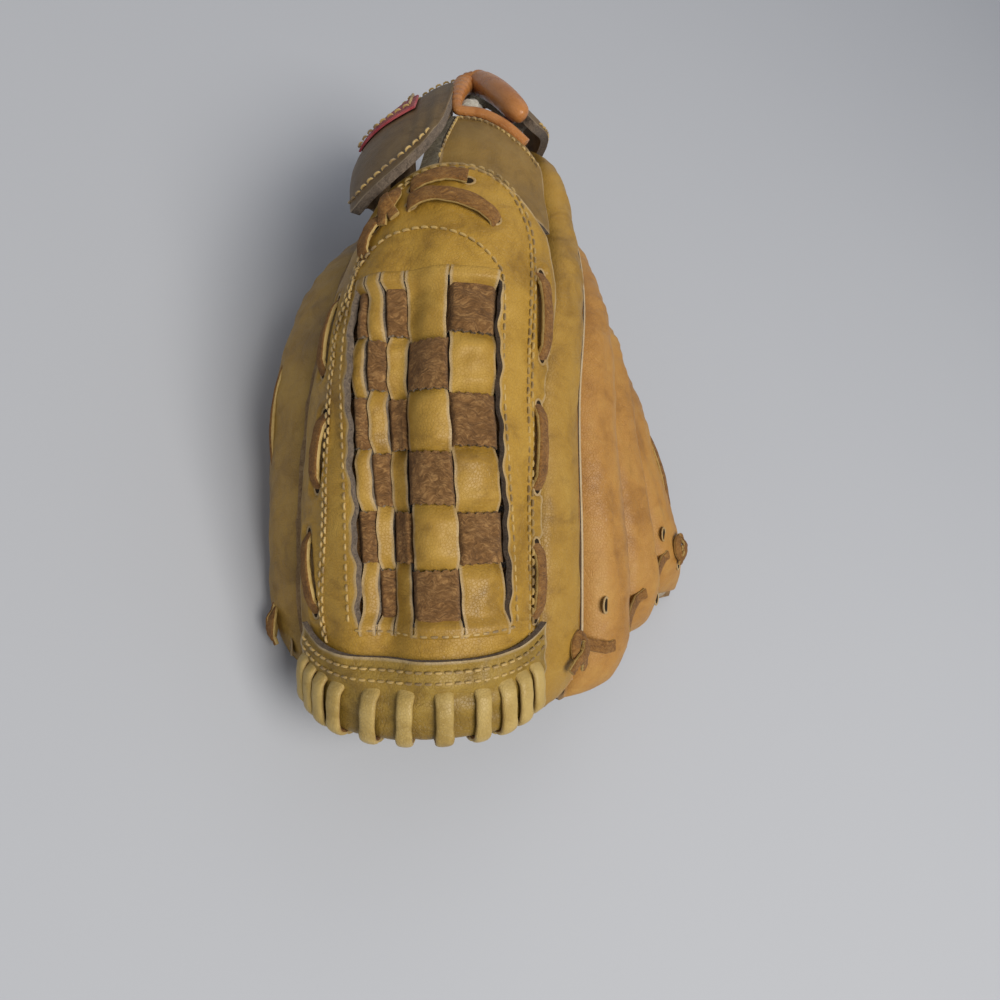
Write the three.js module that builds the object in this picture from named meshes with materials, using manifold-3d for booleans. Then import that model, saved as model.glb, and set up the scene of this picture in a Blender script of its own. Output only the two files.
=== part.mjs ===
// Baseball glove for the left hand, closed and lying on its mouth: the thumb wall and the finger wall
// stand on the ground like a tent, and the woven web looks out over the open tip end.
// Every piece is a sheet of leather laid over one bent form, so all of them share one set of sections.
import * as THREE from 'three';
import Module from 'manifold-3d';
import { mergeVertices } from 'three/addons/utils/BufferGeometryUtils.js';

const wasm = await Module();
wasm.setup();

// Driving dimensions, in millimetres and degrees
const GLOVE_LENGTH = 285;
const WEB_PITCH = 27.6;
const WEB_ROLL = -27.5;
const FLOOR_DROP = 88;
const SPINE_RADIUS = 44;
const THUMB_REACH = 120;
const FINGER_REACH = 190;
const LEATHER = 2.0;
const PALM_LEATHER = 4.0;
const STRIP_LEATHER = 1.6;
const LACE_WIDTH = 4.2;
const LACE_THICKNESS = 1.6;
const LACE_BOW = 1.2;
const CROTCH_BOW = 0.8;
const GAP = 0.4;
const SEAM_GAP = 0.9;
const FOLD_GAP = 0.75;
const STALL_DEPTH = 16;
const HAND_DEPTH = 40;
const FINGER_CROWN = 9;
const WEB_HALF_WIDTH = 43;
const WEB_TOP = 0.014;
const WEB_BASE = 0.635;
const WEB_ARC = 22;
const TIP_ARC = 9;
const WEB_NARROWING = 0.8;
const WEB_THUMB_WIDTH = 51;
const WINDOW_LEFT = 25;
const WINDOW_RIGHT = 23.6;
const CREASE_DEPTH = 7;
const CREASE_WIDTH = 8;
const CREASE_PLACE = -10.5;
const CREASE_COLUMNS = [-8.5, -3.5, 2.5, 7.5, 14.5, 24.5].map((off) => CREASE_PLACE + off);
const STRIP_SPACING = 2.0;
const WEAVE_RISE = 1.3;
const WEAVE_DEPTH = 3.1;
const STRAP_RISE = 5;
const STRAP_BULGE = 11;
const ROLL_RADIUS = 4.5;
const WOOL_THICKNESS = 4;
const LABEL_THICKNESS = 1;
const LABEL_GAP = 1.2;
const STRAP_LEATHER = 3;
const STRAP_THUMB_END = 98;
const STRAP_FINGER_END = 118;
const SPREAD_START = 12;
const SPREAD_FULL = 55;
const SEAT_START_THUMB = 0.5;
const SEAT_START_HEEL = 0.4;
const LABEL_START = -37;
const LABEL_END = -13;
const WOOL_START = -3;
const WOOL_END = 23;
const ROLL_START = 6;
const ROLL_END = 20.5;
const HAND_NARROWING = 20;
const HAND_SEAM_ACROSS = -7.7;
const HAND_SEAM_SLANT = 40;
const SUEDE_ACROSS = -17;
const SUEDE_SLANT = 96;
const SUEDE_LEAST_WIDTH = 1.6;
const BINDING_DEPTH = 21;
const WRAP_DEPTH = 12;
const WRAP_GAP = 1.2;
const KNOT_RADIUS = 5;
const KNOT_HEIGHT = 3;
const TUCK = 5;

// One section an entry, from the web's top edge to the wrist. along is a share of GLOVE_LENGTH, bend is how
// far the spine leans away there and tilt how far the walls lean with it. side shifts the section towards the
// fingers and radius rounds it, both as shares of SPINE_RADIUS. The slopes are the angles of the two walls.
// thumb and finger are shares of THUMB_REACH and FINGER_REACH, measured round the section to its lower edge.
const SECTIONS = [
  { along: -0.04, bend: -30, tilt: -6, side: -0.14, radius: 0.9,
    thumbSlope: 70, fingerSlope: 60, thumb: 0.62, finger: 0.86 },
  { along: 0.05, bend: -8, tilt: -3, side: -0.14, radius: 0.95,
    thumbSlope: 71, fingerSlope: 60, thumb: 0.72, finger: 0.95 },
  { along: 0.19, bend: 0, tilt: 0, side: -0.14, radius: 1.0,
    thumbSlope: 72, fingerSlope: 62, thumb: 0.84, finger: 0.95 },
  { along: 0.37, bend: 4, tilt: 4, side: -0.1, radius: 0.96,
    thumbSlope: 69, fingerSlope: 68, thumb: 0.92, finger: 0.92 },
  { along: 0.51, bend: 14, tilt: 9, side: 0.03, radius: 0.87,
    thumbSlope: 67, fingerSlope: 74, thumb: 1.0, finger: 0.92 },
  { along: 0.65, bend: 36, tilt: 15, side: 0.11, radius: 0.73,
    thumbSlope: 76, fingerSlope: 80, thumb: 1.04, finger: 0.93 },
  { along: 0.79, bend: 54, tilt: 20, side: 0.14, radius: 0.59,
    thumbSlope: 84, fingerSlope: 86, thumb: 1.06, finger: 0.85 },
  { along: 0.91, bend: 62, tilt: 24, side: 0.1, radius: 0.48,
    thumbSlope: 86, fingerSlope: 89, thumb: 0.96, finger: 0.74 },
  { along: 1.04, bend: 66, tilt: 26, side: 0.1, radius: 0.48,
    thumbSlope: 86, fingerSlope: 89, thumb: 0.88, finger: 0.66 },
];

// One row a finger, from the web outwards. near and far are its two seams as shares of the finger wall, from
// the web's border to the lower edge. tip and end are shares of GLOVE_LENGTH and crown one of FINGER_CROWN.
const FINGERS = [
  { name: 'index_back', near: 0.0, spread: 1, far: 0.24, tip: 0.0, end: 0.85, crown: 0.55, nearValley: 0, farValley: 1 },
  { name: 'middle_back', near: 0.24, far: 0.48, tip: -0.02, end: 0.84, crown: 1.0, nearValley: 1, farValley: 1 },
  { name: 'ring_back', near: 0.48, far: 0.73, tip: 0.04, end: 0.83, crown: 1.0, nearValley: 1, farValley: 1 },
  { name: 'pinky_back', near: 0.73, far: 0.97, tip: 0.09, end: 0.845, crown: 0.9, nearValley: 1, farValley: 0 },
];
const THUMB = { name: 'thumb_back', near: 0.0, far: 0.97, tip: 0.035, end: 0.73, crown: 0.9, nearValley: 0, farValley: 0 };

// Edges of the woven strips across the web, as shares of its window from the thumb side to the finger side,
// narrower where the web is folded in. The rows run from the tip end to the crotch end of the window.
const COLUMN_EDGES = [0, 0.1, 0.22, 0.37, 0.68, 1];
const ROW_COUNT = 6;
const WINDOW_START = 0.118;
const WINDOW_END = 0.485;
const DRIFT_AT_TOP = 5.4;
const DRIFT_SLOPE = 4;
const DRIFT_BEND = 7.5;
const WEB_NARROWING_START = 0.485;
const WEB_NARROWING_END = 0.57;

// Lower edge of the wrist strap: a place across, in millimetres, and the share of GLOVE_LENGTH it starts at.
// It reaches down over the thumb's base beside the web and rises round the hand opening.
const STRAP_LOWER_EDGE = [
  { across: -98, start: 0.75 },
  { across: -70, start: 0.735 },
  { across: -50, start: 0.655 },
  { across: -38, start: 0.598 },
  { across: -28, start: 0.601 },
  { across: -17, start: 0.622 },
  { across: -11, start: 0.648 },
  { across: -8, start: 0.674 },
  { across: -5.5, start: 0.71 },
  { across: -4.2, start: 0.8 },
  { across: -2.5, start: 0.88 },
  { across: 3, start: 0.905 },
  { across: 9, start: 0.888 },
  { across: 14.5, start: 0.81 },
  { across: 20.5, start: 0.757 },
  { across: 27, start: 0.76 },
  { across: 36, start: 0.82 },
  { across: 48, start: 0.86 },
  { across: 118, start: 0.86 },
];

// Ends of the palm leather's opening for the web, the palm, the hand's back and the strap
const PALM_NOTCH = 0.52;
const NOTCH_RUN = 0.18;
const TIP_RUN = 0.16;
const PALM_END = 0.96;
const HAND_BACK_END = 0.752;
const HAND_BACK_FALL = 0.07;
const THUMB_BASE_END = 0.815;
const UNDER_WEB = 0.05;
const HAND_SEAM_PLACE = 0.645;
const SUEDE_PLACE = 0.625;
const NARROWING_START = 0.6;
const NARROWING_END = 0.74;
const STRAP_EDGE = 0.965;

// A stall's tip is rounded over this share of GLOVE_LENGTH, and its seams lie this share in from its borders
const TIP_ROUNDING = 0.1;
const STALL_FADE = 0.65;
const STALL_FADE_RUN = 0.14;
// How far the valleys between the fingers fill up towards the hand
const VALLEY_RAISE = 0.62;
const VALLEY_START = 0.5;
const VALLEY_FULL = 0.78;
const SEAM_INSET = 0.004;

// How deep the palm leather lies, as shares of the full depth under the stalls: beside the web, at the lower
// edges and at the tips. The web's share reaches full depth at POCKET_OUT, and all of it at the hand.
const POCKET_IN = 36;
const POCKET_OUT = 66;
const SINK_AT_WEB = 0.32;
const SINK_AT_EDGE = 0.18;
const SINK_AT_TIP = 0.45;
const SINK_EDGE_START = 0.72;
const HAND_START = 0.42;
const HAND_FULL = 0.8;

const RADIANS = Math.PI / 180;

// Smooth value of a column of a table at a place along the glove
function column(table, name, place, key = 'along') {
  let k = 1;
  while (k < table.length - 1 && place > table[k][key]) k += 1;
  const slope = (i) => {
    const a = table[Math.max(i - 1, 0)];
    const b = table[Math.min(i + 1, table.length - 1)];
    return (b[name] - a[name]) / (b[key] - a[key]);
  };
  const span = table[k][key] - table[k - 1][key];
  const t = (place - table[k - 1][key]) / span;
  const rest = 1 - t;
  return table[k - 1][name] * rest * rest * (1 + 2 * t)
    + table[k][name] * t * t * (3 - 2 * t)
    + slope(k - 1) * span * t * rest * rest
    - slope(k) * span * t * t * rest;
}

function smooth(from, to, value) {
  return THREE.MathUtils.smoothstep(value, from, to);
}

// The spine, stepped out from the middle of the web towards both ends
const SPINE_STEPS = 240;
const SPINE_START = SECTIONS[0].along;
const SPINE_SPAN = SECTIONS[SECTIONS.length - 1].along - SPINE_START;
const WEB_MIDDLE = 0.3;
const spineLine = [new THREE.Vector2(0, 0)];
for (let i = 0; i < SPINE_STEPS; i += 1) {
  const lean = column(SECTIONS, 'bend', SPINE_START + SPINE_SPAN * (i + 0.5) / SPINE_STEPS) * RADIANS;
  const step = GLOVE_LENGTH * SPINE_SPAN / SPINE_STEPS;
  const last = spineLine[i];
  spineLine.push(new THREE.Vector2(last.x + step * Math.cos(lean), last.y - step * Math.sin(lean)));
}

function spinePoint(along) {
  const place = (along - SPINE_START) / SPINE_SPAN * SPINE_STEPS;
  const i = Math.min(Math.max(Math.floor(place), 0), SPINE_STEPS - 1);
  return spineLine[i].clone().lerp(spineLine[i + 1], place - i);
}

const webMiddle = spinePoint(WEB_MIDDLE);

// Depth of the lengthwise fold in the web
function crease(across, along) {
  const fade = smooth(0.03, 0.14, along) * (1 - smooth(0.4, 0.56, along));
  const off = (across - CREASE_PLACE) / CREASE_WIDTH;
  return -CREASE_DEPTH * Math.exp(-off * off) * fade;
}

// A point over the form: across runs round the section in millimetres, negative to the thumb, along is a
// share of GLOVE_LENGTH, height is the distance out from the surface. sink pushes it in to the palm leather.
function onForm(across, along, height = 0, sink = 0) {
  const spine = spinePoint(along).sub(webMiddle);
  const lean = column(SECTIONS, 'bend', along) * RADIANS;
  const radius = column(SECTIONS, 'radius', along) * SPINE_RADIUS;
  const flare = column(SECTIONS, across < 0 ? 'thumbSlope' : 'fingerSlope', along) * RADIANS;
  const turn = Math.min(Math.abs(across) / radius, flare);
  const wall = Math.max(Math.abs(across) - radius * flare, 0);
  const out = height + crease(across, along);
  const handShare = smooth(HAND_START, HAND_FULL, along);
  const sideSink = sink * STALL_DEPTH;
  const edge = Math.abs(across < 0 ? thumbEdge(along) : fingerEdge(along));
  const toEdge = Math.min(wall / (edge - radius * flare), 1);
  const handSink = sink * (HAND_DEPTH - STALL_DEPTH) * handShare * (1 - toEdge);
  const tilt = column(SECTIONS, 'tilt', along) * RADIANS;
  const sideways = (radius + out - sideSink) * Math.sin(turn) + wall * Math.cos(flare);
  const downwards = radius * (1 - Math.cos(turn)) + wall * Math.sin(flare);
  const lift = (out - sideSink) * Math.cos(turn) - handSink;
  return new THREE.Vector3(
    column(SECTIONS, 'side', along) * SPINE_RADIUS + Math.sign(across) * sideways,
    spine.x - downwards * Math.sin(tilt) + lift * Math.sin(lean),
    spine.y - downwards * Math.cos(tilt) + lift * Math.cos(lean),
  );
}

// Lower edges of the two walls, in millimetres round the section
function thumbEdge(along) {
  return -column(SECTIONS, 'thumb', along) * THUMB_REACH;
}
function fingerEdge(along) {
  return column(SECTIONS, 'finger', along) * FINGER_REACH;
}

// How far the palm leather lies in from the form, from 0 at the rims to 1 under the stalls
function palmSink(across, along) {
  const edge = across < 0 ? thumbEdge(along) : fingerEdge(along);
  const toEdge = 1 - smooth(SINK_EDGE_START, 1, across / edge);
  const atHand = smooth(PALM_NOTCH, PALM_NOTCH + NOTCH_RUN, along);
  const fromWeb = THREE.MathUtils.lerp(smooth(POCKET_IN, POCKET_OUT, Math.abs(across)), 1, atHand);
  return THREE.MathUtils.lerp(SINK_AT_WEB, 1, fromWeb) * THREE.MathUtils.lerp(SINK_AT_EDGE, 1, toEdge)
    * THREE.MathUtils.lerp(SINK_AT_TIP, 1, smooth(0, TIP_RUN, along));
}
function palmPoint(across, along, height = 0) {
  return onForm(across, along, height, palmSink(across, along));
}

function steps(from, to, count) {
  return Array.from({ length: count + 1 }, (_, i) => from + (to - from) * i / count);
}

// A closed sheet between an outer and an inner face over a grid of places, with the cells that keep refuses
// left out
function sheet(across, along, outer, inner, keep = () => true) {
  const rows = along.length;
  const points = [];
  for (const face of [outer, inner]) {
    for (const u of across) {
      for (const w of along) points.push(face(u, w));
    }
  }
  const half = across.length * rows;
  const index = [];
  const kept = (i, j) => i >= 0 && j >= 0 && i < across.length - 1 && j < rows - 1
    && keep((across[i] + across[i + 1]) / 2, (along[j] + along[j + 1]) / 2);
  const quad = (a, b, c, d) => index.push(a, b, c, a, c, d);
  const wall = (a, b) => quad(a + half, b + half, b, a);
  for (let i = 0; i < across.length - 1; i += 1) {
    for (let j = 0; j < rows - 1; j += 1) {
      if (kept(i, j)) {
        const [a, b, c, d] = [i * rows + j, (i + 1) * rows + j, (i + 1) * rows + j + 1, i * rows + j + 1];
        quad(a, b, c, d);
        quad(d + half, c + half, b + half, a + half);
        if (!kept(i, j - 1)) wall(a, b);
        if (!kept(i + 1, j)) wall(b, c);
        if (!kept(i, j + 1)) wall(c, d);
        if (!kept(i - 1, j)) wall(d, a);
      }
    }
  }
  return meshed(points, index);
}

function meshed(points, index) {
  const geometry = new THREE.BufferGeometry();
  geometry.setAttribute('position', new THREE.Float32BufferAttribute(points.flatMap((p) => p.toArray()), 3));
  geometry.setIndex(index);
  return geometry;
}

// A flat lace along points, with the way its broad face looks given at each point
function lace(points, faces, width = LACE_WIDTH, thickness = LACE_THICKNESS) {
  const corners = [];
  const index = [];
  points.forEach((p, i) => {
    const ahead = points[Math.min(i + 1, points.length - 1)].clone()
      .sub(points[Math.max(i - 1, 0)]).normalize();
    const sideways = ahead.clone().cross(faces[i]).normalize().multiplyScalar(width / 2);
    const up = sideways.clone().cross(ahead).normalize().multiplyScalar(thickness / 2);
    corners.push(p.clone().add(sideways).add(up), p.clone().sub(sideways).add(up));
    corners.push(p.clone().sub(sideways).sub(up), p.clone().add(sideways).sub(up));
  });
  const quad = (a, b, c, d) => index.push(a, b, c, a, c, d);
  for (let i = 0; i < points.length - 1; i += 1) {
    for (let k = 0; k < 4; k += 1) {
      const next = (k + 1) % 4;
      quad(4 * i + k, 4 * i + 4 + k, 4 * i + 4 + next, 4 * i + next);
    }
  }
  const end = 4 * (points.length - 1);
  quad(0, 1, 2, 3);
  quad(end + 3, end + 2, end + 1, end);
  return meshed(corners, index);
}

// The way out from the form at a place
function outwards(across, along) {
  return onForm(across, along, 1).sub(onForm(across, along, 0)).normalize();
}

// A lace lying over the form through places given as [across, along, height]
function laceOver(places, width, thickness) {
  const points = places.map(([across, along, height]) => onForm(across, along, height));
  const faces = places.map(([across, along]) => outwards(across, along));
  return lace(points, faces, width, thickness);
}

const glove = new THREE.Group();
glove.name = 'baseball_glove';

// The form is built with the web facing +Z and is then laid on its mouth
const lying = new THREE.Matrix4().makeRotationFromEuler(
  new THREE.Euler(WEB_PITCH * RADIANS, WEB_ROLL * RADIANS, 0, 'YXZ'));
lying.setPosition(0, 0, FLOOR_DROP);

function solidOf(geometry) {
  const bare = new THREE.BufferGeometry();
  bare.setAttribute('position', geometry.getAttribute('position').clone());
  bare.setIndex(geometry.getIndex());
  const merged = mergeVertices(bare, 1e-4);
  return new wasm.Manifold(new wasm.Mesh({
    numProp: 3,
    vertProperties: new Float32Array(merged.getAttribute('position').array),
    triVerts: new Uint32Array(merged.getIndex().array),
  }));
}

function geometryOf(solid) {
  const mesh = solid.getMesh();
  const geometry = new THREE.BufferGeometry();
  geometry.setAttribute('position', new THREE.BufferAttribute(mesh.vertProperties, 3));
  geometry.setIndex(new THREE.BufferAttribute(mesh.triVerts, 1));
  return geometry;
}

// Everything under the ground is cut away, which leaves the leather flat where it rests
const groundSpan = GLOVE_LENGTH * 3;
const ground = new THREE.BoxGeometry(groundSpan, groundSpan, GLOVE_LENGTH)
  .translate(0, 0, -GLOVE_LENGTH / 2);

function add(name, geometry, look, rests = false) {
  let placed = geometry.clone().applyMatrix4(lying);
  if (rests) placed = geometryOf(solidOf(placed).subtract(solidOf(ground)));
  const mesh = new THREE.Mesh(placed, new THREE.MeshStandardMaterial(look));
  mesh.name = name;
  glove.add(mesh);
}

const TAN = { color: 0xb98a4e, roughness: 0.55, metalness: 0 };
const ORANGE_TAN = { color: 0xb9804a, roughness: 0.5, metalness: 0 };
const MUSTARD = { color: 0xa8863f, roughness: 0.5, metalness: 0 };
const SUEDE = { color: 0x7a5228, roughness: 0.95, metalness: 0 };
const RAWHIDE = { color: 0xb08a3c, roughness: 0.6, metalness: 0 };
const BINDING = { color: 0xb0601f, roughness: 0.35, metalness: 0 };
const WOOL = { color: 0xc9c2b0, roughness: 1.0, metalness: 0 };
const LABEL = { color: 0xb03040, roughness: 0.6, metalness: 0 };

// Places on the two walls: share 0 is the web's border and 1 the lower edge
function fingerWall(share, along) {
  return THREE.MathUtils.lerp(WEB_HALF_WIDTH + GAP, fingerEdge(along), share);
}
function thumbWall(share, along) {
  return THREE.MathUtils.lerp(-WEB_THUMB_WIDTH - GAP, thumbEdge(along), share);
}

// Where the palm leather ends at the tips: it steps from finger to finger and reaches past them by a hem
const PALM_OVER_TIP = 0.012;
const TIP_STEP = 0.03;
function palmTip(across) {
  if (across < 0) return THUMB.tip - PALM_OVER_TIP;
  const share = (across - WEB_HALF_WIDTH) / (fingerEdge(0.1) - WEB_HALF_WIDTH);
  let tip = FINGERS[0].tip;
  for (const finger of FINGERS.slice(1)) {
    const past = smooth(finger.near - TIP_STEP, finger.near + TIP_STEP, share);
    tip = THREE.MathUtils.lerp(tip, finger.tip, past);
  }
  return tip - PALM_OVER_TIP;
}

// Palm leather: thumb front, pocket, finger fronts and heel in one padded sheet, open where the web sits.
// Columns run from -2 at the thumb's lower edge over -1 and 1 at the web's borders to 2 at the fingers' edge.
function palmAcross(side, along) {
  if (side < -1) return thumbWall(-side - 1, along);
  if (side > 1) return fingerWall(side - 1, along);
  return side * ((side < 0 ? WEB_THUMB_WIDTH : WEB_HALF_WIDTH) + GAP);
}
const palmPlace = (height) => (side, row) => {
  const start = palmTip(palmAcross(side, 0.1));
  const along = row < 1
    ? THREE.MathUtils.lerp(start, PALM_NOTCH, row)
    : THREE.MathUtils.lerp(PALM_NOTCH, PALM_END, row - 1);
  return palmPoint(palmAcross(side, along), along, height);
};
add('palm_shell', sheet(
  [...steps(-2, -1, 4), -0.5, 0, 0.5, ...steps(1, 2, 9)],
  [...steps(0, 1, 7), ...steps(1, 2, 8).slice(1)],
  palmPlace(0),
  palmPlace(-PALM_LEATHER),
  (side, row) => row > 1 || Math.abs(side) > 1,
), TAN, true);

// How far the hand's back draws in from the web's width, and the index stall's near seam with it
function handNarrowing(along) {
  return HAND_NARROWING * smooth(NARROWING_START, NARROWING_END, along);
}

// A place on a stall's back: t runs from -1 at its near seam to 1 at its far one. The inner face is nested in
// the outer one by an inset at its seams and tip, which keeps the leather's thickness where it stands steep.
function stallPoint(finger, wall, t, along, height, inset = 0) {
  const middle = (finger.near + finger.far) / 2;
  const half = (finger.far - finger.near) / 2 - SEAM_INSET * Math.sign(finger.far - finger.near);
  const spread = finger.spread ? handNarrowing(along) * (1 - t) / 2 : 0;
  const across = wall(middle + t * half, along) - spread - t * inset;
  const tip = finger.tip + inset / GLOVE_LENGTH;
  const fromTip = THREE.MathUtils.clamp((along - tip) / TIP_ROUNDING, 0, 1);
  const rise = (1 - t * t) ** 0.4 * Math.sqrt(1 - (1 - fromTip) ** 2);
  const fade = 1 - STALL_FADE * smooth(finger.end - STALL_FADE_RUN, finger.end, along);
  const valley = VALLEY_RAISE * smooth(VALLEY_START, VALLEY_FULL, along)
    * THREE.MathUtils.lerp(finger.nearValley, finger.farValley, (t + 1) / 2);
  const seam = palmPoint(across, along, SEAM_GAP + LEATHER / 2 + Math.max(height, 0));
  const crown = onForm(across, along, finger.crown * FINGER_CROWN * fade + height);
  return seam.lerp(crown, valley + (1 - valley) * rise);
}

// A stall's back: a sheet that arches from seam to seam over the palm leather and closes round its tip
function stallBack(finger, wall, turns, rows) {
  const place = (height, inset) => (turn, row) => stallPoint(
    finger, wall, Math.sin(turn),
    THREE.MathUtils.lerp(finger.tip + inset / GLOVE_LENGTH, finger.end, row), height, inset);
  return sheet(
    steps(-Math.PI / 2, Math.PI / 2, turns),
    [0, 0.03, 0.07, ...steps(0.12, 1, rows)],
    place(0, 0),
    place(-LEATHER, LEATHER),
  );
}
for (const finger of FINGERS) {
  add(finger.name, stallBack(finger, fingerWall, 8, 9), ORANGE_TAN, true);
}
const turnedThumb = { ...THUMB, near: THUMB.far, far: THUMB.near };
add(THUMB.name, stallBack(turnedThumb, thumbWall, 8, 9), TAN, true);

// The window and its strips lean over: they lie towards the fingers at the web's top and towards the thumb at
// its crotch
function weaveDrift(along) {
  const share = THREE.MathUtils.clamp((along - WINDOW_START) / (WINDOW_END - WINDOW_START), 0, 1);
  return DRIFT_AT_TOP - DRIFT_SLOPE * share - DRIFT_BEND * share ** 2;
}

// The whole web draws in towards its crotch
function webNarrowing(along) {
  return THREE.MathUtils.lerp(1, WEB_NARROWING, smooth(WEB_NARROWING_START, WEB_NARROWING_END, along));
}

// Web panel with the window that shows the weave, rounded at its crotch end
function webPlace(height) {
  return (across, row) => {
    const bow = (across / WEB_HALF_WIDTH) ** 2;
    const top = WEB_BASE - WEB_ARC / GLOVE_LENGTH * bow;
    const along = row < 1
      ? THREE.MathUtils.lerp(WEB_TOP + TIP_ARC / GLOVE_LENGTH * bow ** 2, WINDOW_START, row)
      : THREE.MathUtils.lerp(WINDOW_START, row < 2 ? WINDOW_END : top, row < 2 ? row - 1 : 1);
    const beyond = THREE.MathUtils.lerp(WINDOW_END, top, Math.max(row - 2, 0));
    const place = row < 2 ? along : beyond;
    const border = across < 0 ? (across + WEB_THUMB_WIDTH) / (WEB_THUMB_WIDTH - WINDOW_LEFT)
      : (WEB_HALF_WIDTH - across) / (WEB_HALF_WIDTH - WINDOW_RIGHT);
    const drift = weaveDrift(place) * THREE.MathUtils.clamp(border, 0, 1);
    return onForm(across * webNarrowing(place) + drift, place, height);
  };
}
const inWindow = (across, row) => across > -WINDOW_LEFT && across < WINDOW_RIGHT && row > 1 && row < 2;
const webColumns = [
  -WEB_THUMB_WIDTH, ...steps(-WEB_HALF_WIDTH, -WINDOW_LEFT, 2), ...CREASE_COLUMNS,
  ...steps(WINDOW_RIGHT, WEB_HALF_WIDTH, 2)];
add('web_panel', sheet(
  webColumns,
  [0, 0.25, 0.5, 0.75, ...steps(1, 2, 5), ...steps(2, 3, 4).slice(1)],
  webPlace(0),
  webPlace(-LEATHER),
  (across, row) => !inWindow(across, row),
), MUSTARD);

// The woven strips: each one swaps from over to under in the narrow spaces between its neighbours
function stripProfile(edges, margin, isOver, reach) {
  const deep = -WEAVE_DEPTH - WEAVE_RISE * 0.8;
  const profile = [[edges[0] - reach, deep], [edges[0] - margin * 0.5, deep]];
  for (let i = 0; i < edges.length - 1; i += 1) {
    const level = -WEAVE_DEPTH + (isOver(i) ? WEAVE_RISE : -WEAVE_RISE);
    profile.push([edges[i] + margin, level], [edges[i + 1] - margin, level]);
  }
  const last = edges[edges.length - 1];
  profile.push([last + margin * 0.5, deep], [last + reach, deep]);
  return profile;
}
function strip(profile, sides, lengthwise) {
  const levels = new Map(profile.map(([place, level]) => [place, level]));
  const runs = profile.map(([place]) => place);
  const face = (shift) => (across, along) => {
    const level = levels.get(lengthwise ? along : across) + shift;
    return onForm(across + weaveDrift(along), along, level);
  };
  const [out, into] = [STRIP_LEATHER / 2, -STRIP_LEATHER / 2];
  return lengthwise ? sheet(sides, runs, face(out), face(into)) : sheet(runs, sides, face(out), face(into));
}
const columnEdges = COLUMN_EDGES.map((share) => THREE.MathUtils.lerp(-WINDOW_LEFT, WINDOW_RIGHT, share));
const rowEdges = steps(WINDOW_START, WINDOW_END, ROW_COUNT);
const halfSpace = STRIP_SPACING / 2;
for (let i = 0; i < columnEdges.length - 1; i += 1) {
  const sides = [columnEdges[i] + 0.35 * halfSpace, columnEdges[i + 1] - 0.35 * halfSpace];
  const profile = stripProfile(
    rowEdges, halfSpace / GLOVE_LENGTH, (row) => (row + i) % 2 === 0, TUCK / GLOVE_LENGTH);
  add(`web_strip_long_${i + 1}`, strip(profile, sides, true), MUSTARD);
}
for (let j = 0; j < ROW_COUNT; j += 1) {
  const sides = [rowEdges[j] + halfSpace / GLOVE_LENGTH, rowEdges[j + 1] - halfSpace / GLOVE_LENGTH];
  const profile = stripProfile(columnEdges, 0.35 * halfSpace, (i) => (j + i) % 2 === 1, TUCK);
  add(`web_strip_cross_${j + 1}`, strip(profile, sides, false), SUEDE);
}

// Crotch end: the hand's back panel comes out from under the web, with a suede strip down its thumb side
const underWeb = (along, height) => height
  - (LEATHER + FOLD_GAP) * (1 - smooth(WEB_BASE, WEB_BASE + UNDER_WEB, along));
const handLeft = (along) => HAND_SEAM_ACROSS
  + HAND_SEAM_SLANT * (Math.min(along, HAND_BACK_END) - HAND_SEAM_PLACE);
const handRight = (along) => fingerWall(FINGERS[0].near, along) - GAP - handNarrowing(along);
const handPlace = (height) => (share, row) => {
  const top = HAND_BACK_END - HAND_BACK_FALL * share ** 2;
  const along = THREE.MathUtils.lerp(WEB_BASE - UNDER_WEB, top, row);
  const across = THREE.MathUtils.lerp(handLeft(along), handRight(along), share);
  return onForm(across, along, underWeb(along, height));
};
add('hand_back', sheet(steps(0, 1, 6), steps(0, 1, 8), handPlace(0), handPlace(-LEATHER)), TAN);
const suedeLeft = (along) => Math.min(
  SUEDE_ACROSS + SUEDE_SLANT * (along - SUEDE_PLACE), handLeft(along) - GAP - SUEDE_LEAST_WIDTH);
const suedePlace = (height) => (share, along) => onForm(
  THREE.MathUtils.lerp(suedeLeft(along), handLeft(along) - GAP, share), along, underWeb(along, height));
add('crotch_suede_strip', sheet(
  [0, 1], steps(WEB_BASE - UNDER_WEB, HAND_BACK_END, 8), suedePlace(0), suedePlace(-LEATHER)), SUEDE);

// Thumb side of the hand, from the thumb's back to the hand opening
const basePlace = (height) => (share, along) => onForm(
  THREE.MathUtils.lerp(thumbEdge(along), suedeLeft(along) - GAP, share), along, height);
add('thumb_base', sheet(
  steps(0, 1, 6),
  steps(THUMB.end + GAP / GLOVE_LENGTH * 2, THUMB_BASE_END, 3),
  basePlace(0),
  basePlace(-LEATHER),
), TAN, true);

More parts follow.
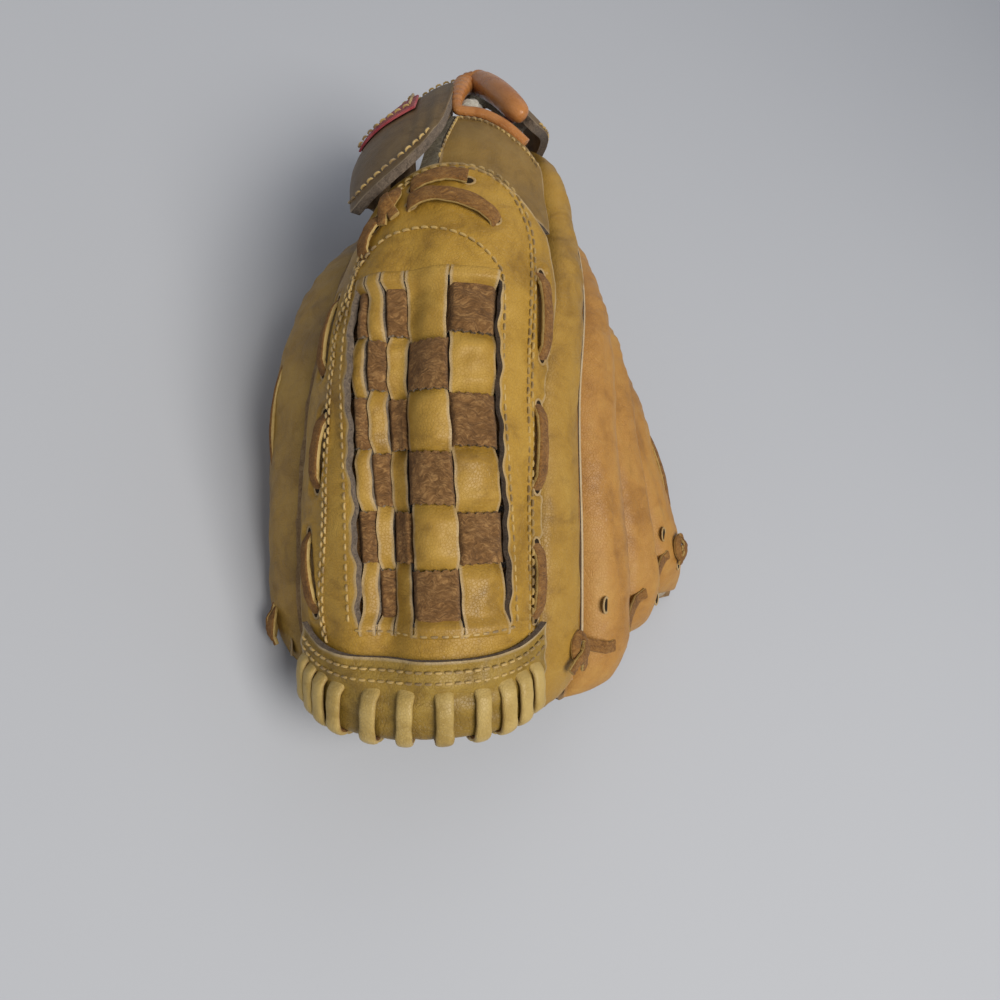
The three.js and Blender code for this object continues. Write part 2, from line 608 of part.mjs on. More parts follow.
// Wrist strap: a band over the back of the wrist, wider and bulging on the thumb side. It stands off the hand
// and comes down on the palm's heel at the little finger's side and on the thumb's base at the other.
// Columns are places round the section from the thumb's end to the fingers' end.
const STRAP_COLUMNS = [
  ...steps(-STRAP_THUMB_END, LABEL_START, 6).slice(0, -1),
  ...steps(LABEL_START, WOOL_END, 20),
  ...steps(WOOL_END, STRAP_FINGER_END, 7).slice(1)];
const STRAP_ROWS = steps(0, 1, 5);
const strapSpread = (across) => smooth(SPREAD_START, SPREAD_FULL, -across);
const strapStart = (across) => column(STRAP_LOWER_EDGE, 'start', across, 'across');
const strapPlace = (height) => (across, share) => {
  const along = THREE.MathUtils.lerp(strapStart(across), STRAP_EDGE, share);
  const bulge = STRAP_BULGE * Math.sin(Math.PI * share) * strapSpread(across);
  const toThumb = smooth(SEAT_START_THUMB, 1, -across / STRAP_THUMB_END);
  const toHeel = smooth(SEAT_START_HEEL, 1, across / STRAP_FINGER_END);
  const seated = THREE.MathUtils.lerp(STRAP_RISE + bulge, STRAP_LEATHER + GAP, toThumb);
  return onForm(across, along, seated + height)
    .lerp(palmPoint(across, along, STRAP_LEATHER + SEAM_GAP + height), toHeel);
};
add('wrist_strap', sheet(STRAP_COLUMNS, STRAP_ROWS, strapPlace(0), strapPlace(-STRAP_LEATHER)), TAN, true);
add('strap_wool', sheet(
  STRAP_COLUMNS.filter((across) => across >= WOOL_START && across <= WOOL_END),
  STRAP_ROWS.slice(1, 5),
  strapPlace(-STRAP_LEATHER - FOLD_GAP),
  strapPlace(-STRAP_LEATHER - FOLD_GAP - WOOL_THICKNESS),
), WOOL);
add('strap_label', sheet(
  STRAP_COLUMNS.filter((across) => across >= LABEL_START && across <= LABEL_END),
  STRAP_ROWS.slice(2, 5),
  strapPlace(LABEL_GAP + LABEL_THICKNESS),
  strapPlace(LABEL_GAP),
), LABEL);

// Rolled binding along the strap's lower edge, over the hand opening
const rollPath = new THREE.CatmullRomCurve3(steps(ROLL_START, ROLL_END, 8).map((across) => {
  const slope = (strapStart(across + 1) - strapStart(across)) * GLOVE_LENGTH;
  const away = (ROLL_RADIUS + GAP) / Math.hypot(slope, 1);
  const along = strapStart(across) - away / GLOVE_LENGTH;
  return onForm(across + away * slope, along, STRAP_RISE);
}));
const rollSection = new THREE.Shape().absarc(0, 0, ROLL_RADIUS, 0, Math.PI * 2);
add('opening_binding', new THREE.ExtrudeGeometry(
  rollSection, { steps: 12, curveSegments: 4, bevelEnabled: false, extrudePath: rollPath }), BINDING);

// Binding folded over the web's top edge
const foldInner = LEATHER / 2 + FOLD_GAP;
function foldPlace(radius, across, turn, depth) {
  const bow = (across / WEB_HALF_WIDTH) ** 4;
  const leg = Math.max(Math.abs(turn) - 1, 0) * depth;
  const angle = Math.min(Math.max(turn, -1), 1) * Math.PI / 2;
  const edge = WEB_TOP + (TIP_ARC * bow - GAP) / GLOVE_LENGTH;
  const along = edge + (leg - radius * Math.cos(angle)) / GLOVE_LENGTH;
  return onForm(across, along, -LEATHER / 2 - radius * Math.sin(angle));
}
add('web_top_binding', sheet(
  [1 - WEB_HALF_WIDTH, ...webColumns.slice(2, -1), WEB_HALF_WIDTH - 1],
  [-1.4, -1, -0.5, 0, 0.5, 1, 1.5, 2],
  (across, turn) => foldPlace(foldInner + LEATHER, across, -turn, BINDING_DEPTH),
  (across, turn) => foldPlace(foldInner, across, -turn, BINDING_DEPTH),
), MUSTARD);

// Spiral lace round the web's top edge: loops over the binding, joined by a runner on the pocket side.
// Shares of the web's half width, close together at both ends and wider apart in the middle.
const WRAP_PLACES = [-0.95, -0.84, -0.73, -0.6, -0.34, -0.1, 0.16, 0.4, 0.6, 0.74, 0.88];
const wrapRadius = foldInner + LEATHER + WRAP_GAP + LACE_THICKNESS / 2;
const wrapTurns = [-2.1, -1.55, -1, -0.6, -0.2, 0.2, 0.6, 1, 1.35];
const wrapSolids = WRAP_PLACES.map((share) => {
  const across = share * WEB_HALF_WIDTH;
  const places = wrapTurns.map((turn) => foldPlace(wrapRadius, across, -turn, WRAP_DEPTH));
  const faces = wrapTurns.map((turn, i) => {
    const inner = foldPlace(wrapRadius - 1, across, -turn, WRAP_DEPTH);
    return places[i].clone().sub(inner).normalize();
  });
  return solidOf(lace(places, faces));
});
const runnerShares = steps(WRAP_PLACES[0], WRAP_PLACES[WRAP_PLACES.length - 1], 10);
const runnerTurn = 1.35;
const runnerPoints = runnerShares.map(
  (share) => foldPlace(wrapRadius, share * WEB_HALF_WIDTH, runnerTurn, WRAP_DEPTH));
const runnerFaces = runnerShares.map((share) => outwards(share * WEB_HALF_WIDTH, WEB_TOP).negate());
const wrapped = wrapSolids.reduce((all, one) => all.add(one), solidOf(lace(runnerPoints, runnerFaces)));
add('web_top_lace', geometryOf(wrapped), RAWHIDE);

// Lace stretches that show along the web's two borders
const laceHeight = GAP + LACE_THICKNESS / 2;
const SIDE_LACES = [
  { name: 'web_lace_finger_1', start: 0.125, end: 0.195, from: 41, to: 41 },
  { name: 'web_lace_finger_2', start: 0.27, end: 0.35, from: 41, to: 40.6 },
  { name: 'web_lace_finger_3', start: 0.418, end: 0.5, from: 39.8, to: 34 },
  { name: 'web_lace_thumb_1', start: 0.133, end: 0.207, from: -38.5, to: -43 },
  { name: 'web_lace_thumb_2', start: 0.27, end: 0.338, from: -38.2, to: -36 },
  { name: 'web_lace_thumb_3', start: 0.401, end: 0.48, from: -41.5, to: -44 },
];
for (const stretch of SIDE_LACES) {
  const places = steps(stretch.start, stretch.end, 5).map((along, i) => [
    THREE.MathUtils.lerp(stretch.from, stretch.to, i / 5), along,
    laceHeight + LACE_BOW * Math.sin(Math.PI * i / 5)]);
  add(stretch.name, laceOver(places), RAWHIDE);
}

// Lace tied through the crotch end of the web: two stretches and their knot
const CROTCH_LACES = [
  { name: 'crotch_lace_upper', route: [[-14, 0.6], [-8, 0.606], [-3, 0.609], [3, 0.606]] },
  { name: 'crotch_lace_lower', route: [[-14, 0.575], [-8, 0.58], [-2, 0.578], [6, 0.57], [13, 0.556]] },
  { name: 'crotch_lace_end', route: [[-27, 0.56], [-29, 0.545], [-30, 0.528]] },
];
for (const stretch of CROTCH_LACES) {
  const lift = (i) => laceHeight + CROTCH_BOW * Math.sin(Math.PI * i / (stretch.route.length - 1));
  const places = stretch.route.map(([across, along], i) => [across, along, lift(i)]);
  add(stretch.name, laceOver(places), RAWHIDE);
}

// A knot of lace: a flattened ball seated on the leather under it
function knot(seat, top) {
  const up = top.clone().sub(seat).normalize();
  const turn = new THREE.Quaternion().setFromUnitVectors(new THREE.Vector3(0, 0, 1), up);
  const centre = seat.clone().add(up.clone().multiplyScalar(KNOT_HEIGHT + GAP));
  return new THREE.SphereGeometry(1, 8, 6)
    .scale(KNOT_RADIUS, KNOT_RADIUS, KNOT_HEIGHT)
    .applyQuaternion(turn)
    .translate(centre.x, centre.y, centre.z);
}
add('crotch_knot', knot(onForm(-21, 0.583, 0), onForm(-21, 0.583, 1)), RAWHIDE);

const STALLS = {
  thumb: [turnedThumb, thumbWall],
  index: [FINGERS[0], fingerWall],
  middle: [FINGERS[1], fingerWall],
  ring: [FINGERS[2], fingerWall],
  pinky: [FINGERS[3], fingerWall],
};
const onStall = (stall, t, along, height) => stallPoint(...STALLS[stall], t, along, height);
const STALL_KNOTS = [
  { name: 'thumb_knot', stall: 'thumb', t: 0.3, along: 0.1 },
  { name: 'index_knot', stall: 'index', t: 0.0, along: 0.075 },
  { name: 'pinky_knot', stall: 'pinky', t: 0.0, along: 0.175 },
];
for (const tied of STALL_KNOTS) {
  const seat = onStall(tied.stall, tied.t, tied.along, 0);
  add(tied.name, knot(seat, onStall(tied.stall, tied.t, tied.along, 1)), RAWHIDE);
}

// Laces that lie on the stalls: along the thumb's and the little finger's outer sides, and from fingertip to
// fingertip over the valleys between them. Each stop is a stall, a place across it and one along the glove,
// and gap is the space under the lace.
const STALL_LACES = [
  {
    name: 'thumb_edge_lace',
    gap: FOLD_GAP,
    stops: [['thumb', 0.2, 0.46], ['thumb', 0.2, 0.4], ['thumb', 0.2, 0.34], ['thumb', 0.2, 0.28]],
  },
  {
    name: 'pinky_edge_lace',
    gap: FOLD_GAP,
    stops: [['pinky', 0.3, 0.4], ['pinky', 0.35, 0.35], ['pinky', 0.4, 0.3], ['pinky', 0.42, 0.25]],
  },
  {
    name: 'tip_lace_index',
    gap: WRAP_GAP,
    stops: [['index', 0.5, 0.075], ['index', 0.75, 0.07], ['middle', -0.7, 0.06], ['middle', -0.4, 0.06]],
  },
  {
    name: 'tip_lace_middle',
    gap: WRAP_GAP,
    stops: [['middle', 0.4, 0.075], ['middle', 0.7, 0.085], ['ring', -0.7, 0.105], ['ring', -0.4, 0.115]],
  },
  {
    name: 'tip_lace_ring',
    gap: WRAP_GAP,
    stops: [['ring', 0.4, 0.125], ['ring', 0.7, 0.135], ['pinky', -0.7, 0.155], ['pinky', -0.45, 0.165]],
  },
];
for (const stretch of STALL_LACES) {
  const height = stretch.gap + LACE_THICKNESS / 2;
  const points = stretch.stops.map(([stall, t, along]) => onStall(stall, t, along, height));
  const above = stretch.stops.map(([stall, t, along]) => onStall(stall, t, along, height + 1));
  const faces = above.map((point, i) => point.sub(points[i]).normalize());
  add(stretch.name, lace(points, faces), RAWHIDE);
}

// The origin is under the middle of the whole glove, on the ground
const extent = new THREE.Box3().setFromObject(glove);
const middle = extent.getCenter(new THREE.Vector3());
glove.position.set(-middle.x, -middle.y, -extent.min.z);

export default glove;
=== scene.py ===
"""Baseball glove for the left hand, closed and lying on its mouth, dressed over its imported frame."""
import math
import random
from collections import namedtuple

import bmesh
import bpy
import numpy as np
from mathutils import Matrix, Vector
from mathutils.kdtree import KDTree


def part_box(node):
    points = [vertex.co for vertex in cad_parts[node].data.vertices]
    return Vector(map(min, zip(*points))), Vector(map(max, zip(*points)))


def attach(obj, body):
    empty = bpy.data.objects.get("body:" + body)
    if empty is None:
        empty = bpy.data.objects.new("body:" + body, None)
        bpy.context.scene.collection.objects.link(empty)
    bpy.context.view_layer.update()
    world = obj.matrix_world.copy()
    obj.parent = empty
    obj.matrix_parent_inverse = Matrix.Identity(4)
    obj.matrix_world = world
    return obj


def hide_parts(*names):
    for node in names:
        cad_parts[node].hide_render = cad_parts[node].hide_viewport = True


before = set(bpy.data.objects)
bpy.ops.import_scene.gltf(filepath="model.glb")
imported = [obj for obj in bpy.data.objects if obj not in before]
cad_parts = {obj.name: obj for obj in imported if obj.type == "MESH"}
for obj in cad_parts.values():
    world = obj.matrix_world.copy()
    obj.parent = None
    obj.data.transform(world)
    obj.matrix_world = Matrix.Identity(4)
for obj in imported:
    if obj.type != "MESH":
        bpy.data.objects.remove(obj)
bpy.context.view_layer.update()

# Palm leather
# One padded hide makes the thumb's front, the pocket, the fingers' fronts and the heel. It is sewn flat and
# then broken in over a ball until it keeps one bent form, which every other piece of the glove lies over.
# Sizes are in millimetres until a piece is laid down in the frame, which is in metres.
GLOVE_LENGTH = 285.0
WEB_PITCH = 27.6
WEB_ROLL = -27.5
SPINE_RADIUS = 44.0
THUMB_REACH = 120.0
FINGER_REACH = 190.0
LEATHER = 2.0
PALM_LEATHER = 4.0
GAP = 0.4
SEAM_GAP = 0.9
FOLD_GAP = 0.75
STALL_DEPTH = 16.0
HAND_DEPTH = 40.0
WEB_HALF_WIDTH = 43.0
WEB_THUMB_WIDTH = 51.0

# along is a share of GLOVE_LENGTH from the web's top edge to the wrist. bend is how far the spine leans away
# there and tilt how far the walls do. side and radius are shares of SPINE_RADIUS, the slopes are the two
# walls' angles, and thumb and finger are shares of THUMB_REACH and FINGER_REACH, to the walls' lower edges.
Section = namedtuple("Section", "along bend tilt side radius thumb_slope finger_slope thumb finger")
SECTIONS = [
    Section(-0.04, -30, -6, -0.14, 0.90, 70, 60, 0.62, 0.86),
    Section(0.05, -8, -3, -0.14, 0.95, 71, 60, 0.72, 0.95),
    Section(0.19, 0, 0, -0.14, 1.00, 72, 62, 0.84, 0.95),
    Section(0.37, 4, 4, -0.10, 0.96, 69, 68, 0.92, 0.92),
    Section(0.51, 14, 9, 0.03, 0.87, 67, 74, 1.00, 0.92),
    Section(0.65, 36, 15, 0.11, 0.73, 76, 80, 1.04, 0.93),
    Section(0.79, 54, 20, 0.14, 0.59, 84, 86, 1.06, 0.85),
    Section(0.91, 62, 24, 0.10, 0.48, 86, 89, 0.96, 0.74),
    Section(1.04, 66, 26, 0.10, 0.48, 86, 89, 0.88, 0.66),
]


def column(name, along, table=SECTIONS, key="along"):
    """Smooth value of one column of a table at places along the glove or across it."""
    places = np.array([getattr(row, key) for row in table], float)
    values = np.array([getattr(row, name) for row in table], float)
    before = np.maximum(np.arange(len(places)) - 1, 0)
    after = np.minimum(np.arange(len(places)) + 1, len(places) - 1)
    slopes = (values[after] - values[before]) / (places[after] - places[before])
    k = np.clip(np.searchsorted(places, along), 1, len(places) - 1)
    span = places[k] - places[k - 1]
    t = (along - places[k - 1]) / span
    rest = 1 - t
    return (values[k - 1] * rest * rest * (1 + 2 * t) + values[k] * t * t * (3 - 2 * t)
            + slopes[k - 1] * span * t * rest * rest - slopes[k] * span * t * t * rest)


def smooth(start, end, value):
    t = np.clip((np.asarray(value, float) - start) / (end - start), 0, 1)
    return t * t * (3 - 2 * t)


def between(a, b, share):
    return a + (b - a) * share


SPINE_STEPS = 240
SPINE_START = SECTIONS[0].along
SPINE_SPAN = SECTIONS[-1].along - SPINE_START
WEB_MIDDLE = 0.3
spine_middles = SPINE_START + SPINE_SPAN * (np.arange(SPINE_STEPS) + 0.5) / SPINE_STEPS
spine_leans = np.radians(column("bend", spine_middles))
spine_step = GLOVE_LENGTH * SPINE_SPAN / SPINE_STEPS
spine_line = np.vstack([
    [0.0, 0.0],
    np.cumsum(np.stack([np.cos(spine_leans), -np.sin(spine_leans)], 1) * spine_step, 0)])


def spine_point(along):
    place = (np.asarray(along, float) - SPINE_START) / SPINE_SPAN * SPINE_STEPS
    i = np.clip(np.floor(place).astype(int), 0, SPINE_STEPS - 1)
    share = (place - i)[..., None]
    return between(spine_line[i], spine_line[i + 1], share)


CREASE_DEPTH = 7.0
CREASE_WIDTH = 8.0
CREASE_PLACE = -10.5


def crease(across, along):
    """Depth of the lengthwise fold in the web."""
    fade = smooth(0.03, 0.14, along) * (1 - smooth(0.4, 0.56, along))
    return -CREASE_DEPTH * np.exp(-((across - CREASE_PLACE) / CREASE_WIDTH) ** 2) * fade


HAND_START = 0.42
HAND_FULL = 0.8


def on_form(across, along, height=0.0, sink=0.0):
    """Points over the form. across runs round the section, negative to the thumb, and height is outwards."""
    across, along, height, sink = np.broadcast_arrays(
        *(np.asarray(value, float) for value in (across, along, height, sink)))
    spine = spine_point(along) - spine_point(WEB_MIDDLE)
    lean = np.radians(column("bend", along))
    tilt = np.radians(column("tilt", along))
    radius = column("radius", along) * SPINE_RADIUS
    flare = np.radians(np.where(across < 0, column("thumb_slope", along), column("finger_slope", along)))
    turn = np.minimum(np.abs(across) / radius, flare)
    wall = np.maximum(np.abs(across) - radius * flare, 0)
    out = height + crease(across, along)
    side_sink = sink * STALL_DEPTH
    reach = np.where(across < 0, column("thumb", along) * THUMB_REACH, column("finger", along) * FINGER_REACH)
    to_edge = np.minimum(wall / (reach - radius * flare), 1)
    hand_sink = sink * (HAND_DEPTH - STALL_DEPTH) * smooth(HAND_START, HAND_FULL, along) * (1 - to_edge)
    sideways = (radius + out - side_sink) * np.sin(turn) + wall * np.cos(flare)
    downwards = radius * (1 - np.cos(turn)) + wall * np.sin(flare)
    lift = (out - side_sink) * np.cos(turn) - hand_sink
    return np.stack([
        column("side", along) * SPINE_RADIUS + np.sign(across) * sideways,
        spine[..., 0] - downwards * np.sin(tilt) + lift * np.sin(lean),
        spine[..., 1] - downwards * np.cos(tilt) + lift * np.cos(lean)], -1)


def unit(ways):
    return ways / np.linalg.norm(ways, axis=-1, keepdims=True)


def outwards(across, along):
    return unit(on_form(across, along, 1.0) - on_form(across, along, 0.0))


def thumb_edge(along):
    return -column("thumb", along) * THUMB_REACH


def finger_edge(along):
    return column("finger", along) * FINGER_REACH


# How deep the palm leather lies under the form, as shares of its full depth
POCKET_IN = 36.0
POCKET_OUT = 66.0
SINK_AT_WEB = 0.32
SINK_AT_EDGE = 0.18
SINK_AT_TIP = 0.45
SINK_EDGE_START = 0.72
PALM_NOTCH = 0.52
PALM_END = 0.96


def palm_point(across, along, height=0.0):
    across, along = np.broadcast_arrays(np.asarray(across, float), np.asarray(along, float))
    edge = np.where(across < 0, thumb_edge(along), finger_edge(along))
    to_edge = 1 - smooth(SINK_EDGE_START, 1, across / edge)
    at_hand = smooth(PALM_NOTCH, PALM_NOTCH + 0.18, along)
    from_web = between(smooth(POCKET_IN, POCKET_OUT, np.abs(across)), 1, at_hand)
    sink = (between(SINK_AT_WEB, 1, from_web) * between(SINK_AT_EDGE, 1, to_edge)
            * between(SINK_AT_TIP, 1, smooth(0, 0.16, along)))
    return on_form(across, along, height, sink)


# The bent glove is laid on its mouth: turned about the web's middle, lifted and moved over the origin. The
# packed knot at the web's crotch shows where the frame has it.
MM = 0.001
turned = np.array(
    Matrix.Rotation(math.radians(WEB_ROLL), 3, "Y") @ Matrix.Rotation(math.radians(WEB_PITCH), 3, "X"))
CROTCH_KNOT_PLACE = (-21.0, 0.583)
KNOT_HEIGHT = 3.0
knot_seat = on_form(*CROTCH_KNOT_PLACE, 0.0)
knot_centre = knot_seat + outwards(*CROTCH_KNOT_PLACE) * (KNOT_HEIGHT + GAP)
packed_knot = np.mean([tuple(corner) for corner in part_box("crotch_knot")], 0)
laid_at = packed_knot - turned @ knot_centre * MM


def laid(points):
    """Points of the form, in millimetres, as places in the frame, in metres."""
    return points @ turned.T * MM + laid_at


def crossed(places, others):
    """Two grids: each place of one line with each of another."""
    return np.meshgrid(places, others, indexing="ij")


def lumps(across, along, size, seed):
    """Soft unevenness of worked leather, about 1 high, from a few crossing waves of like size."""
    draw = np.random.default_rng(seed)
    total = 0.0
    for _ in range(8):
        angle, phase = draw.uniform(0, 2 * math.pi, 2)
        wave = 2 * math.pi / (size * draw.uniform(0.6, 1.7))
        run = math.cos(angle) * across + math.sin(angle) * along * GLOVE_LENGTH
        total = total + np.sin(wave * run + phase)
    return total / 4


def sheet_faces(shape, keep):
    """Faces of a closed sheet over a grid of places: its grain face, its flesh face and its cut edges."""
    rows = shape[1]
    kept = np.ones((shape[0] - 1, shape[1] - 1), bool) if keep is None else keep
    around = np.pad(kept, 1)
    i, j = np.nonzero(kept)
    a = i * rows + j
    b, c, d = a + rows, a + rows + 1, a + 1
    half = shape[0] * shape[1]
    grain = np.stack([a, b, c, d], 1)
    flesh = np.stack([d, c, b, a], 1) + half
    cuts = []
    for (di, dj), (p, q) in {(0, -1): (a, b), (1, 0): (b, c), (0, 1): (c, d), (-1, 0): (d, a)}.items():
        bare = ~around[i + 1 + di, j + 1 + dj]
        cuts.append(np.stack([p[bare] + half, q[bare] + half, q[bare], p[bare]], 1))
    cuts = np.concatenate(cuts)
    looks = np.repeat([0, 1, 2], [len(grain), len(flesh), len(cuts)])
    return np.concatenate([grain, flesh, cuts]), looks


def rest_on_ground(mesh, cut_look):
    """Cuts a piece flat where it reaches the ground, and closes the cut."""
    work = bmesh.new()
    work.from_mesh(mesh)
    everything = work.verts[:] + work.edges[:] + work.faces[:]
    cut = bmesh.ops.bisect_plane(
        work, geom=everything, dist=1e-6, plane_co=(0, 0, 0), plane_no=(0, 0, 1), clear_inner=True)
    rim = [part for part in cut["geom_cut"] if isinstance(part, bmesh.types.BMEdge)]
    if rim:
        filled = bmesh.ops.triangle_fill(work, use_beauty=True, edges=rim, normal=(0, 0, -1))
        for face in filled["geom"]:
            if isinstance(face, bmesh.types.BMFace):
                face.material_index = cut_look
    work.to_mesh(mesh)
    work.free()


SHARP_ANGLE = math.radians(50)


def piece(name, points, faces, looks, materials, stands_for=(), rests=False):
    """One piece of the glove from points in the frame, riding on its one body."""
    used, faces = np.unique(faces, return_inverse=True)
    faces = faces.reshape(-1, 4)
    mesh = bpy.data.meshes.new(name)
    mesh.from_pydata(points[used].tolist(), [], faces.tolist())
    for material in materials:
        mesh.materials.append(material)
    mesh.polygons.foreach_set("material_index", looks.astype(np.int32))
    mesh.update()
    if rests:
        rest_on_ground(mesh, min(2, len(materials) - 1))
    mesh.polygons.foreach_set("use_smooth", np.ones(len(mesh.polygons), bool))
    mesh.set_sharp_from_angle(angle=SHARP_ANGLE)
    mesh.validate()
    made = bpy.data.objects.new(name, mesh)
    bpy.context.collection.objects.link(made)
    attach(made, "root")
    if stands_for:
        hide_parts(*stands_for)
    return made


EDGE_WEAR = 4.0


def mark_edges(made, cut_look=2):
    """Keeps each point's distance to the nearest cut edge, in millimetres, for the wear in the finish."""
    mesh = made.data
    rim = {i for face in mesh.polygons if face.material_index == cut_look for i in face.vertices}
    tree = KDTree(len(rim))
    for i in rim:
        tree.insert(mesh.vertices[i].co, i)
    tree.balance()
    away = mesh.attributes.new("edge", "FLOAT", "POINT")
    away.data.foreach_set("value", [min(tree.find(v.co)[2] / MM, 2 * EDGE_WEAR) for v in mesh.vertices])


def leather_sheet(name, grain, flesh, materials, keep=None, stands_for=(), rests=False,
                  second=None):
    """A sheet of leather between its two faces, given as grids of points over the form. second marks the
    cells of its grain face that are cut from another hide, the fourth material."""
    points = laid(np.concatenate([grain.reshape(-1, 3), flesh.reshape(-1, 3)]))
    faces, looks = sheet_faces(grain.shape, keep)
    if second is not None:
        looks[:second.size] = np.where(second.reshape(-1), 3, 0)
    made = piece(name, points, faces, looks, materials, stands_for, rests)
    mark_edges(made)
    return made


class Wire:
    """A socket of a finish that is being wired, with the arithmetic that its masks need."""

    def __init__(self, tree, socket=None):
        self.tree = tree
        self.socket = socket

    def node(self, kind, settings, inputs, out=0):
        made = self.tree.nodes.new("ShaderNode" + kind)
        for name, value in settings.items():
            if name == "stops":
                stops = made.color_ramp.elements
                stops.remove(stops[1])
                stops[0].position, stops[0].color = value[0][0], (*value[0][1], 1)
                for place, colour in value[1:]:
                    stops.new(place).color = (*colour, 1)
            else:
                setattr(made, name, value)
        for name, value in inputs.items():
            if isinstance(value, Wire):
                self.tree.links.new(value.socket, made.inputs[name])
            else:
                made.inputs[name].default_value = value
        return Wire(self.tree, made.outputs[out])

    def maths(self, operation, *values):
        return self.node("Math", {"operation": operation}, dict(enumerate(values)))

    def __add__(self, other):
        return self.maths("ADD", self, other)

    def __mul__(self, other):
        return self.maths("MULTIPLY", self, other)

    __radd__ = __add__
    __rmul__ = __mul__

    def step(self, start, end, low=0.0, high=1.0):
        """Smooth step of a value from start to end."""
        return self.node(
            "MapRange", {"interpolation_type": "SMOOTHSTEP"},
            {"Value": self, "From Min": start, "From Max": end, "To Min": low, "To Max": high})


def finish(name, roughness, sheen=0.0, coat=0.0, specular=0.4):
    """A new finish: its shader, a wire to start from and the place on the object."""
    material = bpy.data.materials.new(name)
    material.use_nodes = True
    tree = material.node_tree
    shader = tree.nodes["Principled BSDF"]
    shader.inputs["Roughness"].default_value = roughness
    shader.inputs["Sheen Weight"].default_value = sheen
    shader.inputs["Sheen Roughness"].default_value = 0.6
    shader.inputs["Coat Weight"].default_value = coat
    shader.inputs["Coat Roughness"].default_value = 0.25
    shader.inputs["Specular IOR Level"].default_value = specular
    start = Wire(tree)
    return material, shader, start, start.node("TexCoord", {}, {}, out=3)


def wire_up(start, shader, colour, bump, depth, roughness=None):
    """Joins a finish's colour, relief and roughness to its shader. depth is the relief's height in metres."""
    start.tree.links.new(colour.socket, shader.inputs["Base Color"])
    raised = start.node("Bump", {}, {"Height": bump, "Distance": depth})
    start.tree.links.new(raised.socket, shader.inputs["Normal"])
    if roughness is not None:
        start.tree.links.new(roughness.socket, shader.inputs["Roughness"])


def mixed(factor, a, b):
    """Two colours mixed by a mask."""
    a, b = (part if isinstance(part, Wire) else (*part, 1) for part in (a, b))
    return factor.node("Mix", {"data_type": "RGBA"}, {0: factor, 6: a, 7: b}, out=2)


def noise(start, place, scale, detail=4.0, roughness=0.55, distortion=0.0):
    return start.node("TexNoise", {}, {
        "Vector": place, "Scale": scale, "Detail": detail, "Roughness": roughness, "Distortion": distortion})


def grain_leather(name, dark, middle, light, roughness=0.5, worn=(0.4, 0.29, 0.16), grease=0.35,
                  creases=0.2, stretch=(1.0, 1.0, 1.0)):
    """Tanned grain: mottled by handling, fine pores, fine creases darkened with painted shade, and paler and
    rubbed at its cut edges.
    """
    material, shader, start, place = finish(name, roughness, coat=0.04, specular=0.3)
    broad = noise(start, place, 26.0, 5.0, 0.6, 0.4)
    patches = noise(start, place, 95.0, 6.0, 0.65, 0.8)
    specks = noise(start, place, 1300.0, 2.0)
    pores = start.node("TexVoronoi", {"feature": "DISTANCE_TO_EDGE"}, {"Vector": place, "Scale": 1050.0})
    bent = start.node("VectorMath", {"operation": "MULTIPLY_ADD"}, {
        0: noise(start, place, 120.0, 3.0), 1: (0.016, 0.016, 0.016), 2: place})
    drawn = start.node("Mapping", {}, {"Vector": bent, "Scale": stretch})
    wrinkles = start.node("TexVoronoi", {"feature": "DISTANCE_TO_EDGE"}, {"Vector": drawn, "Scale": 130.0})
    edge = start.node("Attribute", {"attribute_name": "edge"}, {}, out=2)
    ramp = start.node("ValToRGB", {"stops": [(0.28, dark), (0.5, middle), (0.72, light)]}, {
        0: broad * 0.55 + patches * 0.45})
    stained = mixed(noise(start, place, 48.0, 6.0, 0.7, 1.4).step(0.52, 0.7) * grease, ramp, dark)
    # Painted shade: the fine crease lines are darkened towards the dark tone, as strongly as creases asks.
    crease_shaded = mixed(wrinkles.step(0.0, 0.05, 0.35 * creases, 0.0), stained, dark)
    speckled = mixed(specks.step(0.6, 0.8) * 0.22, crease_shaded, light)
    rubbed = mixed(edge.step(0.25, 1.3, 0.75, 0.0) * patches.step(0.3, 0.6, 0.4, 1.0), speckled, worn)
    relief = (pores.step(0.0, 0.12) * 0.35 + wrinkles.step(0.0, 0.09) * creases + patches * 0.9
              + noise(start, place, 420.0, 4.0) * 0.5)
    gloss = broad.step(0.3, 0.7, roughness - 0.07, roughness + 0.12)
    wire_up(start, shader, rubbed, relief, 0.0002, gloss)
    return material


def flesh_leather(name, dark, middle, light, fibre=520.0):
    """The hide's rough inner side: short fibres that stand up in swirls and catch the light."""
    material, shader, start, place = finish(name, 0.95, sheen=0.06, specular=0.15)
    swirl = start.node("VectorMath", {"operation": "MULTIPLY_ADD"}, {
        0: noise(start, place, 160.0, 2.0), 1: (0.006, 0.006, 0.006), 2: place})
    combed = start.node("Mapping", {}, {
        "Vector": swirl, "Rotation": (0.5, 0.3, 0.7), "Scale": (1.0, 3.4, 1.6)})
    fibres = noise(start, combed, fibre, 6.0, 0.75, 0.7)
    nap = noise(start, place, 240.0, 3.0, 0.6)
    ramp = start.node("ValToRGB", {"stops": [(0.36, dark), (0.5, middle), (0.66, light)]}, {
        0: fibres * 0.72 + nap * 0.28})
    wire_up(start, shader, ramp, fibres + nap * 0.4, 0.0007)
    return material


def raw_edge(name, dark, light):
    """A cut through the hide: grey-brown layers with pale loose fibres."""
    material, shader, start, place = finish(name, 0.9, sheen=0.08, specular=0.2)
    layers = noise(start, place, 700.0, 6.0, 0.8, 1.2)
    fibres = tuple(1.35 * part for part in light)
    ramp = start.node("ValToRGB", {"stops": [(0.38, dark), (0.58, light), (0.78, fibres)]}, {0: layers})
    wire_up(start, shader, ramp, layers, 0.0006)
    return material


